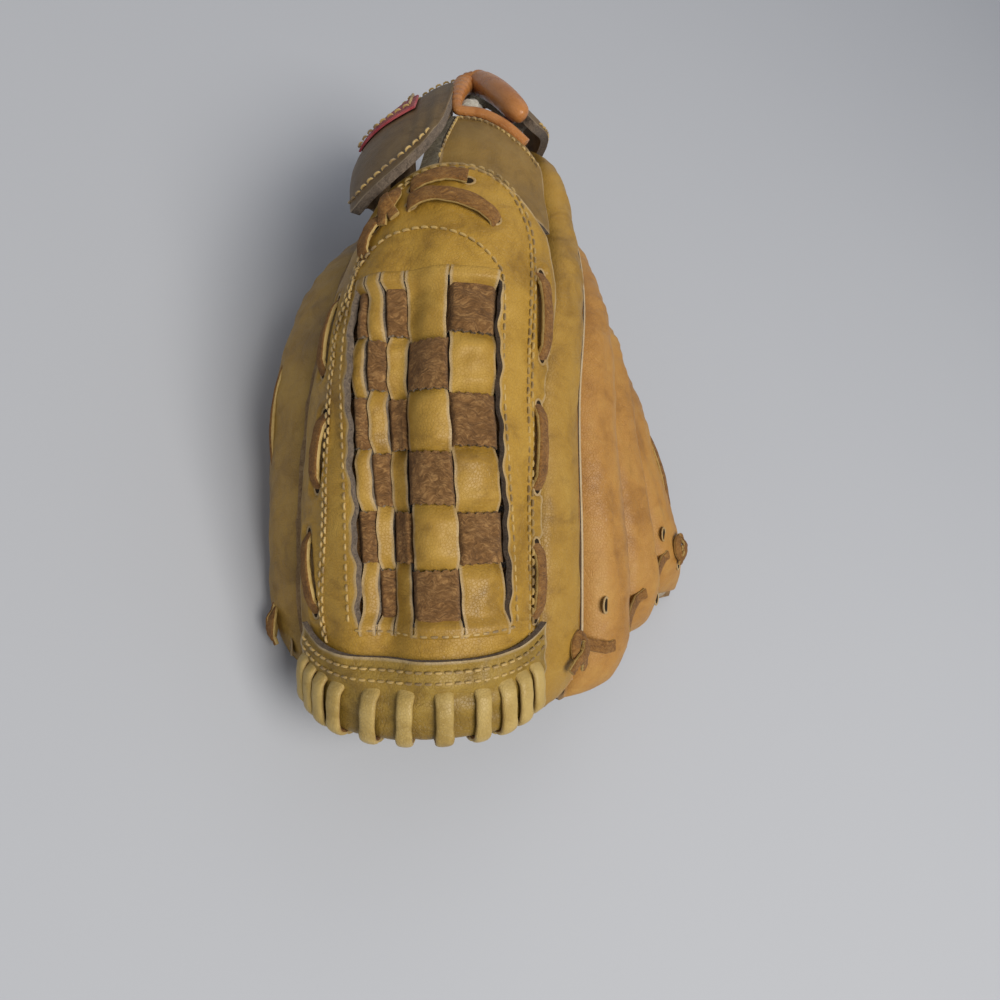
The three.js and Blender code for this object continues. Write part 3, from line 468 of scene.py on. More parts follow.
palm_grain = grain_leather(
    "palm leather grain", (0.135, 0.07, 0.013), (0.315, 0.18, 0.039), (0.414, 0.26, 0.065))
palm_flesh = flesh_leather(
    "palm leather flesh", (0.14, 0.075, 0.03), (0.27, 0.16, 0.065), (0.4, 0.27, 0.13))
cut_edge = raw_edge("cut leather edge", (0.07, 0.05, 0.035), (0.2, 0.15, 0.105))

# The leather steps from finger to finger at the tips and reaches past them by a hem. near and far are a
# stall's seams, as shares of the wall from the web to its edge, and tip and end are shares of the glove's
# length. The valley columns are 1 beside a seam between two fingers, which is filled near the hand.
PALM_OVER_TIP = 0.012
TIP_STEP = 0.03
Stall = namedtuple("Stall", "name near far tip end crown near_valley far_valley", defaults=(0, 0))
FINGERS = [
    Stall("index_back", 0.0, 0.24, 0.0, 0.85, 0.55, 0, 1),
    Stall("middle_back", 0.24, 0.48, -0.02, 0.84, 1.0, 1, 1),
    Stall("ring_back", 0.48, 0.73, 0.04, 0.83, 1.0, 1, 1),
    Stall("pinky_back", 0.73, 0.97, 0.09, 0.845, 0.9, 1, 0),
]
THUMB = Stall("thumb_back", 0.97, 0.0, 0.035, 0.73, 0.9)


def finger_wall(share, along):
    return between(WEB_HALF_WIDTH + GAP, finger_edge(along), share)


def thumb_wall(share, along):
    return between(-WEB_THUMB_WIDTH - GAP, thumb_edge(along), share)


def palm_tip(across):
    share = (across - WEB_HALF_WIDTH) / (finger_edge(0.1) - WEB_HALF_WIDTH)
    tip = np.full_like(across, FINGERS[0].tip)
    for stall in FINGERS[1:]:
        tip = between(tip, stall.tip, smooth(stall.near - TIP_STEP, stall.near + TIP_STEP, share))
    return np.where(across < 0, THUMB.tip, tip) - PALM_OVER_TIP


def palm_across(side, along):
    """Columns run from -2 at the thumb's lower edge, over -1 and 1 at the web's borders, to 2."""
    inner = side * (np.where(side < 0, WEB_THUMB_WIDTH, WEB_HALF_WIDTH) + GAP)
    beyond_web = np.where(side > 1, finger_wall(side - 1, along), inner)
    return np.where(side < -1, thumb_wall(-side - 1, along), beyond_web)


palm_sides = np.concatenate([
    np.linspace(-2, -1, 29), np.linspace(-1, 1, 17)[1:-1], np.linspace(1, 2, 55)])
palm_rows = np.concatenate([np.linspace(0, 1, 64), np.linspace(1, 2, 57)[1:]])
side_grid, row_grid = crossed(palm_sides, palm_rows)
palm_start = palm_tip(palm_across(side_grid, np.full_like(side_grid, 0.1)))
palm_along = np.where(row_grid < 1, between(palm_start, PALM_NOTCH, row_grid),
                      between(PALM_NOTCH, PALM_END, row_grid - 1))
palm_places = palm_across(side_grid, palm_along)
pocket_lumps = 0.7 * lumps(palm_places, palm_along, 34, 5) + 0.25 * lumps(palm_places, palm_along, 11, 6)
middle_sides = (palm_sides[:-1] + palm_sides[1:]) / 2
middle_rows = (palm_rows[:-1] + palm_rows[1:]) / 2
palm_keep = (np.abs(middle_sides)[:, None] > 1) | (middle_rows[None, :] > 1)
palm = leather_sheet(
    "palm_leather", palm_point(palm_places, palm_along),
    palm_point(palm_places, palm_along, pocket_lumps - PALM_LEATHER),
    [palm_flesh, palm_grain, cut_edge], palm_keep, ["palm_shell"], rests=True)

# Finger and thumb backs
# Each stall is closed by a back of smooth tan leather that arches from seam to seam over the palm leather and
# rounds off at its tip. Years of folding have left soft lengthwise waves and fine wrinkles across them.
FINGER_CROWN = 9.0
TIP_ROUNDING = 0.1
SEAM_INSET = 0.004
STALL_ROWS = 190
STALL_FADE = 0.65
STALL_FADE_RUN = 0.14
VALLEY_RAISE = 0.62
VALLEY_START = 0.5
VALLEY_FULL = 0.78
STALL_TURNS = 44
TIP_SHARE = 0.12

finger_grain = grain_leather(
    "finger leather", (0.215, 0.09, 0.017), (0.404, 0.198, 0.044), (0.482, 0.27, 0.069), 0.46,
    (0.5, 0.3, 0.14), 0.25, 0.3, (1.0, 0.28, 1.0))
thumb_grain = grain_leather(
    "thumb leather", (0.136, 0.068, 0.012), (0.323, 0.187, 0.036), (0.425, 0.264, 0.06), 0.48,
    (0.45, 0.31, 0.16), 0.4, 0.25, (1.0, 0.4, 1.0))
HAND_NARROWING = 20.0
NARROWING_START = 0.6
NARROWING_END = 0.74


def hand_narrowing(along):
    """How far the hand's back draws in from the web's width, and the index stall's near seam with it."""
    return HAND_NARROWING * smooth(NARROWING_START, NARROWING_END, along)


def stall_point(stall, wall, t, along, height=0.0, inset=0.0):
    """A place on a stall's back. t runs from -1 at its near seam to 1 at its far one."""
    t = np.asarray(t, float)
    half = (stall.far - stall.near) / 2 - SEAM_INSET * np.sign(stall.far - stall.near)
    spread = hand_narrowing(along) * (1 - t) / 2 if stall.name == "index_back" else 0.0
    across = wall((stall.near + stall.far) / 2 + t * half, along) - spread - np.sign(half) * t * inset
    from_tip = np.clip((along - stall.tip - inset / GLOVE_LENGTH) / TIP_ROUNDING, 0, 1)
    rise = np.maximum(1 - t * t, 0) ** 0.4 * np.sqrt(1 - (1 - from_tip) ** 2)
    fade = 1 - STALL_FADE * smooth(stall.end - STALL_FADE_RUN, stall.end, along)
    beside_finger = between(stall.near_valley, stall.far_valley, (t + 1) / 2)
    valley = VALLEY_RAISE * smooth(VALLEY_START, VALLEY_FULL, along) * beside_finger
    rise = valley + (1 - valley) * rise
    seam = palm_point(across, along, SEAM_GAP + LEATHER / 2 + np.maximum(height, 0))
    crown = on_form(across, along, stall.crown * FINGER_CROWN * fade + height)
    return between(seam, crown, rise[..., None])


# Soft folds on the stalls: where each runs across and along, how deep it is and how wide, in millimetres
Fold = namedtuple("Fold", "stall t start end depth width")
FOLDS = [
    Fold("index_back", 0.28, 0.02, 0.62, -0.9, 2.2),
    Fold("index_back", -0.45, 0.2, 0.5, 0.5, 4.0),
    Fold("middle_back", -0.25, 0.06, 0.55, -0.6, 2.6),
    Fold("middle_back", 0.35, 0.1, 0.6, 0.6, 3.4),
    Fold("ring_back", -0.4, 0.08, 0.6, -0.8, 2.0),
    Fold("ring_back", 0.05, 0.1, 0.66, 0.7, 2.4),
    Fold("ring_back", 0.45, 0.12, 0.6, -0.8, 2.2),
    Fold("pinky_back", -0.3, 0.16, 0.6, -0.8, 2.6),
    Fold("pinky_back", 0.3, 0.15, 0.6, 0.6, 3.0),
    Fold("thumb_back", -0.3, 0.1, 0.6, -1.2, 6.0),
    Fold("thumb_back", 0.25, 0.15, 0.65, 1.0, 8.0),
]


def stall_relief(stall, t, along, width):
    relief = 0.45 * lumps(t * width / 2, along, 26, 21) + 0.12 * lumps(t * width / 2, along, 7, 22)
    for fold in FOLDS:
        if fold.stall == stall.name:
            run = smooth(fold.start, fold.start + 0.08, along) * (1 - smooth(fold.end - 0.1, fold.end, along))
            wander = 0.04 * np.sin(along * 21 + fold.t * 9)
            off = (t - fold.t - wander) * width / 2 / fold.width
            relief = relief + fold.depth * run * np.exp(-off * off)
    hand_bend = smooth(0.42, 0.55, along) * (1 - smooth(0.7, 0.82, along))
    relief = relief + 0.22 * hand_bend * np.sin(along * GLOVE_LENGTH * 2 * math.pi / 9 + 2 * np.sin(3 * t))
    return relief * (1 - t ** 6)


def stall_width(stall):
    reach = FINGER_REACH if stall in FINGERS else THUMB_REACH
    return abs(stall.far - stall.near) * (reach - WEB_HALF_WIDTH)


# The index stall's half beside the web is cut from the web's mustard hide, up to a thin folded line
WEB_HIDE_EDGE = 0.3
index_grain = grain_leather(
    "index leather", (0.153, 0.076, 0.01), (0.34, 0.188, 0.028), (0.425, 0.256, 0.05), 0.46,
    (0.42, 0.31, 0.17), 0.4, 0.2, (1.0, 0.4, 1.0))


def stall_back(stall, wall, grain, turns=STALL_TURNS):
    sides = np.sin(np.linspace(-math.pi / 2, math.pi / 2, turns))
    near_tip = np.linspace(0, TIP_SHARE, 26) ** 1.5 / TIP_SHARE ** 0.5
    rows = np.concatenate([near_tip, np.linspace(TIP_SHARE, 1, STALL_ROWS)[1:]])
    t, row = crossed(sides, rows)
    along = between(stall.tip, stall.end, row)
    relief = stall_relief(stall, t, along, stall_width(stall))
    within = along + LEATHER / GLOVE_LENGTH * (1 - row)
    web_side = (t[1:, 1:] < WEB_HIDE_EDGE) if stall.name == "index_back" else None
    return leather_sheet(
        stall.name + "_leather", stall_point(stall, wall, t, along, relief),
        stall_point(stall, wall, t, within, np.minimum(relief, 0) - LEATHER, LEATHER),
        [grain, palm_flesh, cut_edge, index_grain], stands_for=[stall.name], rests=True,
        second=web_side)


for stall in FINGERS:
    stall_back(stall, finger_wall, finger_grain)
stall_back(THUMB, thumb_wall, thumb_grain, 64)

# Seam welts
# A narrow strip of pale leather is sewn into each seam between two fingers and shows as a thin raised line.
# It follows the valley from the hand to the tips, and round each fingertip it shows its two felted layers.
WELT_RADIUS = 0.95
WELT_SIDES = 8


def smooth_path(points, count):
    """A soft curve through a few points, as so many even steps."""
    points = np.asarray(points, float)
    padded = np.vstack([2 * points[0] - points[1], points, 2 * points[-1] - points[-2]])
    place = np.linspace(0, len(points) - 1, count)
    k = np.minimum(place.astype(int), len(points) - 2)
    t = (place - k)[:, None]
    p0, p1, p2, p3 = padded[k], padded[k + 1], padded[k + 2], padded[k + 3]
    return 0.5 * (2 * p1 + (p2 - p0) * t + (2 * p0 - 5 * p1 + 4 * p2 - p3) * t ** 2
                  + (3 * p1 - p0 - 3 * p2 + p3) * t ** 3)


def ring_faces(rings, sides):
    """Quads between closed rings of points that follow each other."""
    k, i = np.meshgrid(np.arange(sides), np.arange(rings - 1))
    step = (k + 1) % sides
    quads = [i * sides + k, i * sides + step, (i + 1) * sides + step, (i + 1) * sides + k]
    return np.stack(quads, -1).reshape(-1, 4)


def swept(centres, faces, width, thickness, sides=10, squareness=0.55, taper=None):
    """Rings of a strip with rounded edges along a path, its quads and their looks: 0 up, 1 under, 2 edges."""
    ahead = unit(np.gradient(centres, axis=0))
    sideways = unit(np.cross(ahead, faces))
    up = np.cross(sideways, ahead)
    scale = np.ones(len(centres)) if taper is None else taper
    turns = (np.arange(sides) + 0.5) * 2 * math.pi / sides
    x = np.sign(np.cos(turns)) * np.abs(np.cos(turns)) ** squareness * width / 2
    y = np.sign(np.sin(turns)) * np.abs(np.sin(turns)) ** squareness * thickness / 2
    rings = (centres[:, None] + scale[:, None, None]
             * (sideways[:, None] * x[None, :, None] + up[:, None] * y[None, :, None]))
    quads = ring_faces(len(centres), sides)
    facing = np.sin((np.arange(sides) + 1) * 2 * math.pi / sides)
    looks = np.where(np.abs(facing) < 0.35, 2, np.where(facing > 0, 0, 1))
    last = (len(centres) - 1) * sides
    ends = [[base + a, base + (a + 1) % sides, base + (sides - 2 - a) % sides, base + sides - 1 - a][::order]
            for base, order in ((0, -1), (last, 1)) for a in range(sides // 2 - 1)]
    return (rings.reshape(-1, 3), np.concatenate([quads, ends]),
            np.concatenate([np.tile(looks, len(centres) - 1), np.full(len(ends), 2)]))


def joined(parts):
    """Several swept strips as one set of points, quads and looks."""
    count = np.cumsum([0] + [len(points) for points, _, _ in parts])
    return (np.concatenate([points for points, _, _ in parts]),
            np.concatenate([quads + start for (_, quads, _), start in zip(parts, count)]),
            np.concatenate([looks for _, _, looks in parts]))


welt_leather = grain_leather(
    "welt leather", (0.26, 0.15, 0.06), (0.46, 0.31, 0.15), (0.6, 0.45, 0.26), 0.6,
    (0.5, 0.4, 0.26), 0.5, 0.15)
felt_edge = raw_edge("felted welt edge", (0.16, 0.12, 0.08), (0.4, 0.33, 0.24))
welts = []
VALLEY_LIFT = 3.4
for before, after in zip(FINGERS, FINGERS[1:]):
    along = np.linspace(max(before.tip, after.tip) + 0.012, min(before.end, after.end) - 0.01, 150)
    across = finger_wall(after.near, along)
    lift = VALLEY_LIFT + 0.3 * np.sin(along * 60) + 0.2 * lumps(across, along, 15, 31)
    centres = laid(palm_point(across, along, lift))
    way = laid(palm_point(across, along, lift + 1)) - centres
    welts.append(swept(centres, way, 2.2 * WELT_RADIUS * MM, 2 * WELT_RADIUS * MM, WELT_SIDES, 0.9))
index = FINGERS[0]
fold_along = np.linspace(0.06, 0.62, 150)
fold_t = np.full_like(fold_along, WEB_HIDE_EDGE)
fold_seats = laid(stall_point(index, finger_wall, fold_t, fold_along, 0.15))
fold_ups = laid(stall_point(index, finger_wall, fold_t, fold_along, 1.15)) - fold_seats
welts.append(swept(fold_seats, fold_ups, 1.5 * MM, 0.9 * MM, WELT_SIDES, 0.9))
points, quads, looks = joined(welts)
piece("finger_welts", points, quads, looks, [welt_leather, welt_leather, cut_edge])

TIP_WELT_WIDTH = 1.5
TIP_WELT_THICKNESS = 1.3
TIP_WELT_LIFT = 0.6
TIP_WELT_STEP = 1.5
# It ends this far above the ground where the thumb's tip lies on it
TIP_WELT_GROUND = 1.6
tip_welts = []
for stall, wall in [(stall, finger_wall) for stall in FINGERS] + [(THUMB, thumb_wall)]:
    turn = np.linspace(-1, 1, 90)
    run = np.abs(turn) ** 2.2 * 0.11
    along = stall.tip + run - 0.0035
    t = np.sign(turn) * np.minimum(np.abs(turn) * 1.6, 1.0)
    across = wall((stall.near + stall.far) / 2 + t * (stall.far - stall.near) / 2, along)
    for layer in (0, 1):
        lift = TIP_WELT_LIFT + layer * TIP_WELT_STEP
        centres = laid(palm_point(across, along, lift))
        way = laid(palm_point(across, along, lift + 1)) - centres
        clear = centres[:, 2] > TIP_WELT_GROUND * MM
        width = (TIP_WELT_WIDTH + layer) * MM
        tip_welts.append(swept(centres[clear], way[clear], width, TIP_WELT_THICKNESS * MM, WELT_SIDES, 0.7))
points, quads, looks = joined(tip_welts)
piece("fingertip_welts", points, quads, looks, [felt_edge, welt_leather, felt_edge])

# Web panel
# A flap of the same hide spans thumb and index, folded lengthwise down its middle, with a window cut out for
# the basket weave. Its border laces lie in long slots, and they enter it through punched holes.
WEB_TOP = 0.014
WEB_BASE = 0.635
WEB_ARC = 22.0
TIP_ARC = 9.0
WEB_NARROWING = 0.8
WINDOW_LEFT = 25.0
WINDOW_RIGHT = 23.6
WINDOW_START = 0.118
WINDOW_END = 0.485
WEB_NARROWING_START = 0.485
WEB_NARROWING_END = 0.57
DRIFT_AT_TOP = 5.4
DRIFT_SLOPE = 4.0
DRIFT_BEND = 7.5


def bow(across):
    return (across / WEB_HALF_WIDTH) ** 2


def web_top_edge(across):
    return WEB_TOP + TIP_ARC / GLOVE_LENGTH * bow(across) ** 2


def web_row(across, row):
    """Rows run from 0 at the web's top edge over 1 and 2 at the window's ends to 3 at the crotch."""
    top = WEB_BASE - WEB_ARC / GLOVE_LENGTH * bow(across)
    below_top = np.where(
        row < 2, between(WINDOW_START, WINDOW_END, row - 1), between(WINDOW_END, top, row - 2))
    return np.where(row < 1, between(web_top_edge(across), WINDOW_START, row), below_top)


def weave_drift(along):
    """The window and its strips lean over: to the fingers at the web's top and to the thumb at its crotch."""
    share = np.clip((along - WINDOW_START) / (WINDOW_END - WINDOW_START), 0, 1)
    return DRIFT_AT_TOP - DRIFT_SLOPE * share - DRIFT_BEND * share ** 2


def web_across(across, along):
    border = np.where(across < 0, (across + WEB_THUMB_WIDTH) / (WEB_THUMB_WIDTH - WINDOW_LEFT),
                      (WEB_HALF_WIDTH - across) / (WEB_HALF_WIDTH - WINDOW_RIGHT))
    at_crotch = smooth(WEB_NARROWING_START, WEB_NARROWING_END, along)
    return across * between(1, WEB_NARROWING, at_crotch) + weave_drift(along) * np.clip(border, 0, 1)


# A border lace runs from start to end, and from its first place across to its last. Its slot is pressed into
# the panel.
SideLace = namedtuple("SideLace", "name start end first last")
SIDE_LACES = [
    SideLace("web_lace_finger_1", 0.125, 0.195, 41, 41),
    SideLace("web_lace_finger_2", 0.27, 0.35, 41, 40.6),
    SideLace("web_lace_finger_3", 0.418, 0.5, 39.8, 34),
    SideLace("web_lace_thumb_1", 0.133, 0.207, -38.5, -43),
    SideLace("web_lace_thumb_2", 0.27, 0.338, -38.2, -36),
    SideLace("web_lace_thumb_3", 0.401, 0.48, -41.5, -44),
]
SLOT_WIDTH = 3.4
SLOT_DEPTH = 1.1
SLOT_LIP = 0.45


def slots(across, along):
    """Relief of the pressed slots: a trough with a rolled lip on each side and a dent round each end."""
    relief = np.zeros_like(across)
    for lace in SIDE_LACES:
        run = np.clip(along, lace.start - 0.006, lace.end + 0.006)
        line = between(lace.first, lace.last, (run - lace.start) / (lace.end - lace.start))
        away = np.hypot(across - line, (along - run) * GLOVE_LENGTH)
        relief -= SLOT_DEPTH * (1 - smooth(SLOT_WIDTH * 0.55, SLOT_WIDTH, away))
        relief += SLOT_LIP * np.exp(-((away - SLOT_WIDTH * 1.25) / 1.1) ** 2)
    return relief


# Holes of the lace at the crotch: where across and along the web each dents it, in millimetres and as a share
HOLE_DENTS = [
    (-36.2, 0.549), (-30.0, 0.526), (-27.0, 0.562), (-14.0, 0.6), (-14.0, 0.575), (13.6, 0.556), (3.6, 0.606)]
HOLE_RADIUS = 2.6


def dents(across, along):
    relief = np.zeros_like(across)
    for x, y in HOLE_DENTS:
        away = np.hypot(across - x, (along - y) * GLOVE_LENGTH)
        relief -= 1.0 * np.exp(-(away / HOLE_RADIUS) ** 2)
    return relief


web_grain = grain_leather(
    "web leather grain", (0.157, 0.077, 0.01), (0.377, 0.211, 0.028), (0.49, 0.295, 0.052), 0.44,
    (0.42, 0.31, 0.17), 0.45, 0.2)
web_flesh = flesh_leather(
    "web leather flesh", (0.12, 0.065, 0.025), (0.24, 0.14, 0.055), (0.36, 0.24, 0.11))
web_columns = np.unique(np.concatenate([
    np.linspace(-WEB_THUMB_WIDTH, -WINDOW_LEFT, 32), np.linspace(-WINDOW_LEFT, WINDOW_RIGHT, 60),
    np.linspace(WINDOW_RIGHT, WEB_HALF_WIDTH, 26)]))
web_rows = np.unique(np.concatenate([np.linspace(0, 1, 30), np.linspace(1, 2, 130), np.linspace(2, 3, 56)]))
web_x, web_r = crossed(web_columns, web_rows)
web_y = web_row(web_x, web_r)
web_places = web_across(web_x, web_y)
column_middles = (web_columns[:-1] + web_columns[1:]) / 2
row_middles = (web_rows[:-1] + web_rows[1:]) / 2
in_window = ((column_middles > -WINDOW_LEFT) & (column_middles < WINDOW_RIGHT))[:, None] & (
    (row_middles > 1) & (row_middles < 2))[None, :]
web_relief = (slots(web_places, web_y) + dents(web_places, web_y) + 0.35 * lumps(web_places, web_y, 24, 41)
              + 0.12 * lumps(web_places, web_y, 8, 42))
# The cut edges of the window wander and curl up a little
to_window = np.minimum(np.abs(web_x + WINDOW_LEFT), np.abs(web_x - WINDOW_RIGHT))
curl = np.exp(-to_window / 2.0) * ((web_r > 1) & (web_r < 2))
web_wander = web_places + curl * (0.5 * np.sin(web_y * 83) + 0.3 * np.sin(web_y * 211 + 1))
web_relief = web_relief + 0.5 * curl
leather_sheet(
    "web_panel_leather", on_form(web_wander, web_y, web_relief),
    on_form(web_wander, web_y, np.minimum(web_relief, 0) * 0.6 - LEATHER), [web_grain, web_flesh, cut_edge],
    ~in_window, ["web_panel"])

# Basket weave
# Five strips of hide run down the web with their smooth side out, and six of suede cross them, over and under
# in turn. Where a strip comes over it swells, and its raw edges show pale at the sides.
COLUMN_EDGES = [0.0, 0.1, 0.22, 0.37, 0.68, 1.0]
ROW_COUNT = 6
STRIP_LEATHER = 1.6
WEAVE_RISE = 1.3
WEAVE_DEPTH = 3.1
TUCK = 5.0
PILLOW = 0.9
# The long strips run on into the panel at the window's two ends, over these shares of the glove's length
JOIN_IN = 0.016
JOIN_OUT = 0.002
# Each strip is a little wider or narrower, further left or right, and lies a little askew, in millimetres
LONG_DRIFT = [(0.2, 0.3), (-0.3, 0.0), (0.2, -0.4), (-0.2, 0.5), (0.3, -0.3)]
CROSS_DRIFT = [(0.3, 0.6), (-0.4, -0.4), (0.3, 0.8), (0.2, -0.9), (-0.3, 0.5), (0.2, -0.4)]
ROW_EDGES = np.linspace(WINDOW_START, WINDOW_END, ROW_COUNT + 1)
WINDOW_WIDE = WINDOW_LEFT + WINDOW_RIGHT
COLUMN_PLACES = -WINDOW_LEFT + np.array(COLUMN_EDGES) * WINDOW_WIDE


def weave_level(place, edges, over, reach):
    """Height of a strip along its run: up where it is over and down where it is under, in soft steps."""
    level = np.full_like(place, -1.0)
    step = reach * (edges[1:] - edges[:-1]).min()
    for i in range(len(edges) - 1):
        if over(i):
            level += 2 * smooth(edges[i] - step, edges[i] + step, place) * (
                1 - smooth(edges[i + 1] - step, edges[i + 1] + step, place))
    inside = (smooth(edges[0] - 2 * step, edges[0], place)
              * (1 - smooth(edges[-1], edges[-1] + 2 * step, place)))
    return between(-0.8, level, inside)


strip_grain = grain_leather(
    "strip leather grain", (0.137, 0.068, 0.01), (0.363, 0.203, 0.03), (0.51, 0.31, 0.06), 0.4,
    (0.46, 0.34, 0.19), 0.5, 0.15)
strip_suede = flesh_leather(
    "strip suede", (0.09, 0.042, 0.013), (0.19, 0.092, 0.03), (0.42, 0.235, 0.085), 430.0)
strip_edge = raw_edge("strip edge", (0.1, 0.07, 0.045), (0.3, 0.23, 0.15))
for i in range(len(COLUMN_EDGES) - 1):
    left, right = COLUMN_PLACES[i] + 0.3, COLUMN_PLACES[i + 1] - 0.3
    drift, askew = LONG_DRIFT[i]
    along = np.linspace(WINDOW_START - TUCK / GLOVE_LENGTH, WINDOW_END + TUCK / GLOVE_LENGTH, 230)
    share = np.linspace(-1, 1, max(14, int((right - left) * 1.3)))
    s, y = crossed(share, along)
    level = weave_level(y, ROW_EDGES, lambda row, i=i: (row + i) % 2 == 0, 0.24)
    in_run = smooth(WINDOW_START, WINDOW_START + 0.03, y) * (1 - smooth(WINDOW_END - 0.03, WINDOW_END, y))
    wander = in_run * (askew * np.sin((y - WINDOW_START) * 13) + 0.15 * np.sin(y * 190 + i))
    x = (left + right) / 2 + s * ((right - left) / 2 + 0.25 * drift) + wander + weave_drift(y)
    swell = PILLOW * np.maximum(level, -0.2) * (1 - s * s) * min(1, (right - left) / 9)
    joined_on = 1 - (smooth(WINDOW_START - JOIN_OUT, WINDOW_START + JOIN_IN, y)
                     * (1 - smooth(WINDOW_END - JOIN_IN, WINDOW_END + JOIN_OUT, y)))
    sunk = 1 - smooth(along[0], along[0] + 0.01, y) * (1 - smooth(along[-1] - 0.01, along[-1], y))
    height = -WEAVE_DEPTH + WEAVE_RISE * level + swell * in_run + 0.22 * lumps(x, y, 9, 60 + i) * (1 - s ** 4)
    height = between(height, 0.55 + 0.35 * lumps(x, y, 24, 41) - 1.6 * sunk, joined_on)
    under = height - swell * 0.6 * in_run - STRIP_LEATHER
    leather_sheet(
        f"weave_long_{i + 1}", on_form(x, y, height), on_form(x, y, under),
        [strip_grain, strip_suede, strip_edge], stands_for=[f"web_strip_long_{i + 1}"])
for j in range(ROW_COUNT):
    start, end = ROW_EDGES[j] + 1 / GLOVE_LENGTH, ROW_EDGES[j + 1] - 1 / GLOVE_LENGTH
    drift, askew = CROSS_DRIFT[j]
    across = np.linspace(-WINDOW_LEFT - TUCK, WINDOW_RIGHT + TUCK, 150)
    share = np.linspace(-1, 1, 30)
    x, s = crossed(across, share)
    level = weave_level(x, COLUMN_PLACES, lambda col, j=j: (col + j) % 2 == 1, 0.36)
    in_run = smooth(-WINDOW_LEFT, -WINDOW_LEFT + 3, x) * (1 - smooth(WINDOW_RIGHT - 3, WINDOW_RIGHT, x))
    fray = 0.25 * np.sin(x * 2.1 + j) + 0.2 * np.sin(x * 4.7 + 2 * j)
    half = ((end - start) * GLOVE_LENGTH / 2 + 0.3 * drift + fray * np.abs(s) ** 6) / GLOVE_LENGTH
    y = (start + end) / 2 + s * half + in_run * askew * 0.6 / GLOVE_LENGTH * np.sin(x / 9 + j)
    placed = x + weave_drift(y)
    swell = PILLOW * np.maximum(level, -0.2) * (1 - s * s)
    height = -WEAVE_DEPTH + WEAVE_RISE * level + swell * in_run + 0.25 * lumps(x, y, 7, 80 + j)
    under = height - swell * 0.6 * in_run - STRIP_LEATHER
    leather_sheet(
        f"weave_cross_{j + 1}", on_form(placed, y, height), on_form(placed, y, under),
        [strip_suede, strip_grain, strip_edge], stands_for=[f"web_strip_cross_{j + 1}"])

# Hand back, crotch suede and thumb base The hand's back is one panel of smooth tan leather from the web's
# crotch to the strap. A narrow strip of grey suede is sewn in beside it, and the thumb's base closes the rest
# of the back on the thumb's side.
HAND_BACK_END = 0.752
HAND_BACK_FALL = 0.07
THUMB_BASE_END = 0.815
UNDER_WEB = 0.05
SUEDE_LEAST_WIDTH = 1.6
hand_grain = grain_leather(
    "hand back leather", (0.098, 0.053, 0.011), (0.225, 0.131, 0.03), (0.3, 0.188, 0.052), 0.52,
    (0.36, 0.25, 0.13), 0.35, 0.12)
grey_suede = flesh_leather("grey suede", (0.09, 0.07, 0.045), (0.19, 0.155, 0.1), (0.31, 0.27, 0.19), 700.0)


def under_web(along, height):
    """The panels duck under the web where it overlaps them."""
    return height - (LEATHER + FOLD_GAP) * (1 - smooth(WEB_BASE, WEB_BASE + UNDER_WEB, along))


def hand_left(along):
    return -7.7 + 40 * (np.minimum(along, HAND_BACK_END) - 0.645)


def hand_right(along):
    return finger_wall(0, along) - GAP - hand_narrowing(along)


def suede_left(along):
    return np.minimum(-17 + 96 * (along - 0.625), hand_left(along) - GAP - SUEDE_LEAST_WIDTH)


def back_panel(name, first, last, start, end, counts, materials, node, seed, relief_high=0.4,
               duck=True, rests=False):
    """A panel over the hand's back between two lines across it. Its ends are given along the glove."""
    share, row = crossed(np.linspace(0, 1, counts[0]), np.linspace(0, 1, counts[1]))
    y = between(start, end(share), row)
    x = between(first(y), last(y), share)
    bulge = 1 - np.abs(2 * share - 1) ** 6
    relief = (relief_high * lumps(x, y, 18, seed) + 0.1 * lumps(x, y, 6, seed + 1)) * bulge
    level = under_web if duck else lambda along, height: height
    return leather_sheet(
        name, on_form(x, y, level(y, relief)), on_form(x, y, level(y, np.minimum(relief, 0) - LEATHER)),
        materials, stands_for=[node], rests=rests)


def hand_top(share):
    return HAND_BACK_END - HAND_BACK_FALL * share ** 2


back_panel(
    "hand_back_leather", hand_left, hand_right, WEB_BASE - UNDER_WEB, hand_top, (70, 70),
    [hand_grain, palm_flesh, cut_edge], "hand_back", 91)
back_panel(
    "crotch_suede", suede_left, lambda y: hand_left(y) - GAP, WEB_BASE - UNDER_WEB,
    lambda share: np.full_like(share, HAND_BACK_END), (14, 60), [grey_suede, palm_flesh, cut_edge],
    "crotch_suede_strip", 93, 0.2)
back_panel(
    "thumb_base_leather", thumb_edge, lambda y: suede_left(y) - GAP, THUMB.end + 2 * GAP / GLOVE_LENGTH,
    lambda share: np.full_like(share, THUMB_BASE_END), (120, 30), [thumb_grain, palm_flesh, cut_edge],
    "thumb_base", 95, 0.5, duck=False, rests=True)

# Wrist strap
# A broad band over the back of the wrist, wide and bulging on the thumb's side. It is lined with wool that
# shows at its opening, and it carries a small woven patch of plain red.
STRAP_RISE = 5.0
STRAP_BULGE = 11.0
STRAP_LEATHER = 3.0
STRAP_THUMB_END = 98.0
STRAP_FINGER_END = 118.0
STRAP_EDGE = 0.965
WOOL_THICKNESS = 4.0
LABEL_THICKNESS = 1.0
LABEL_GAP = 1.2


def strap_spread(across):
    return smooth(12, 55, -across)


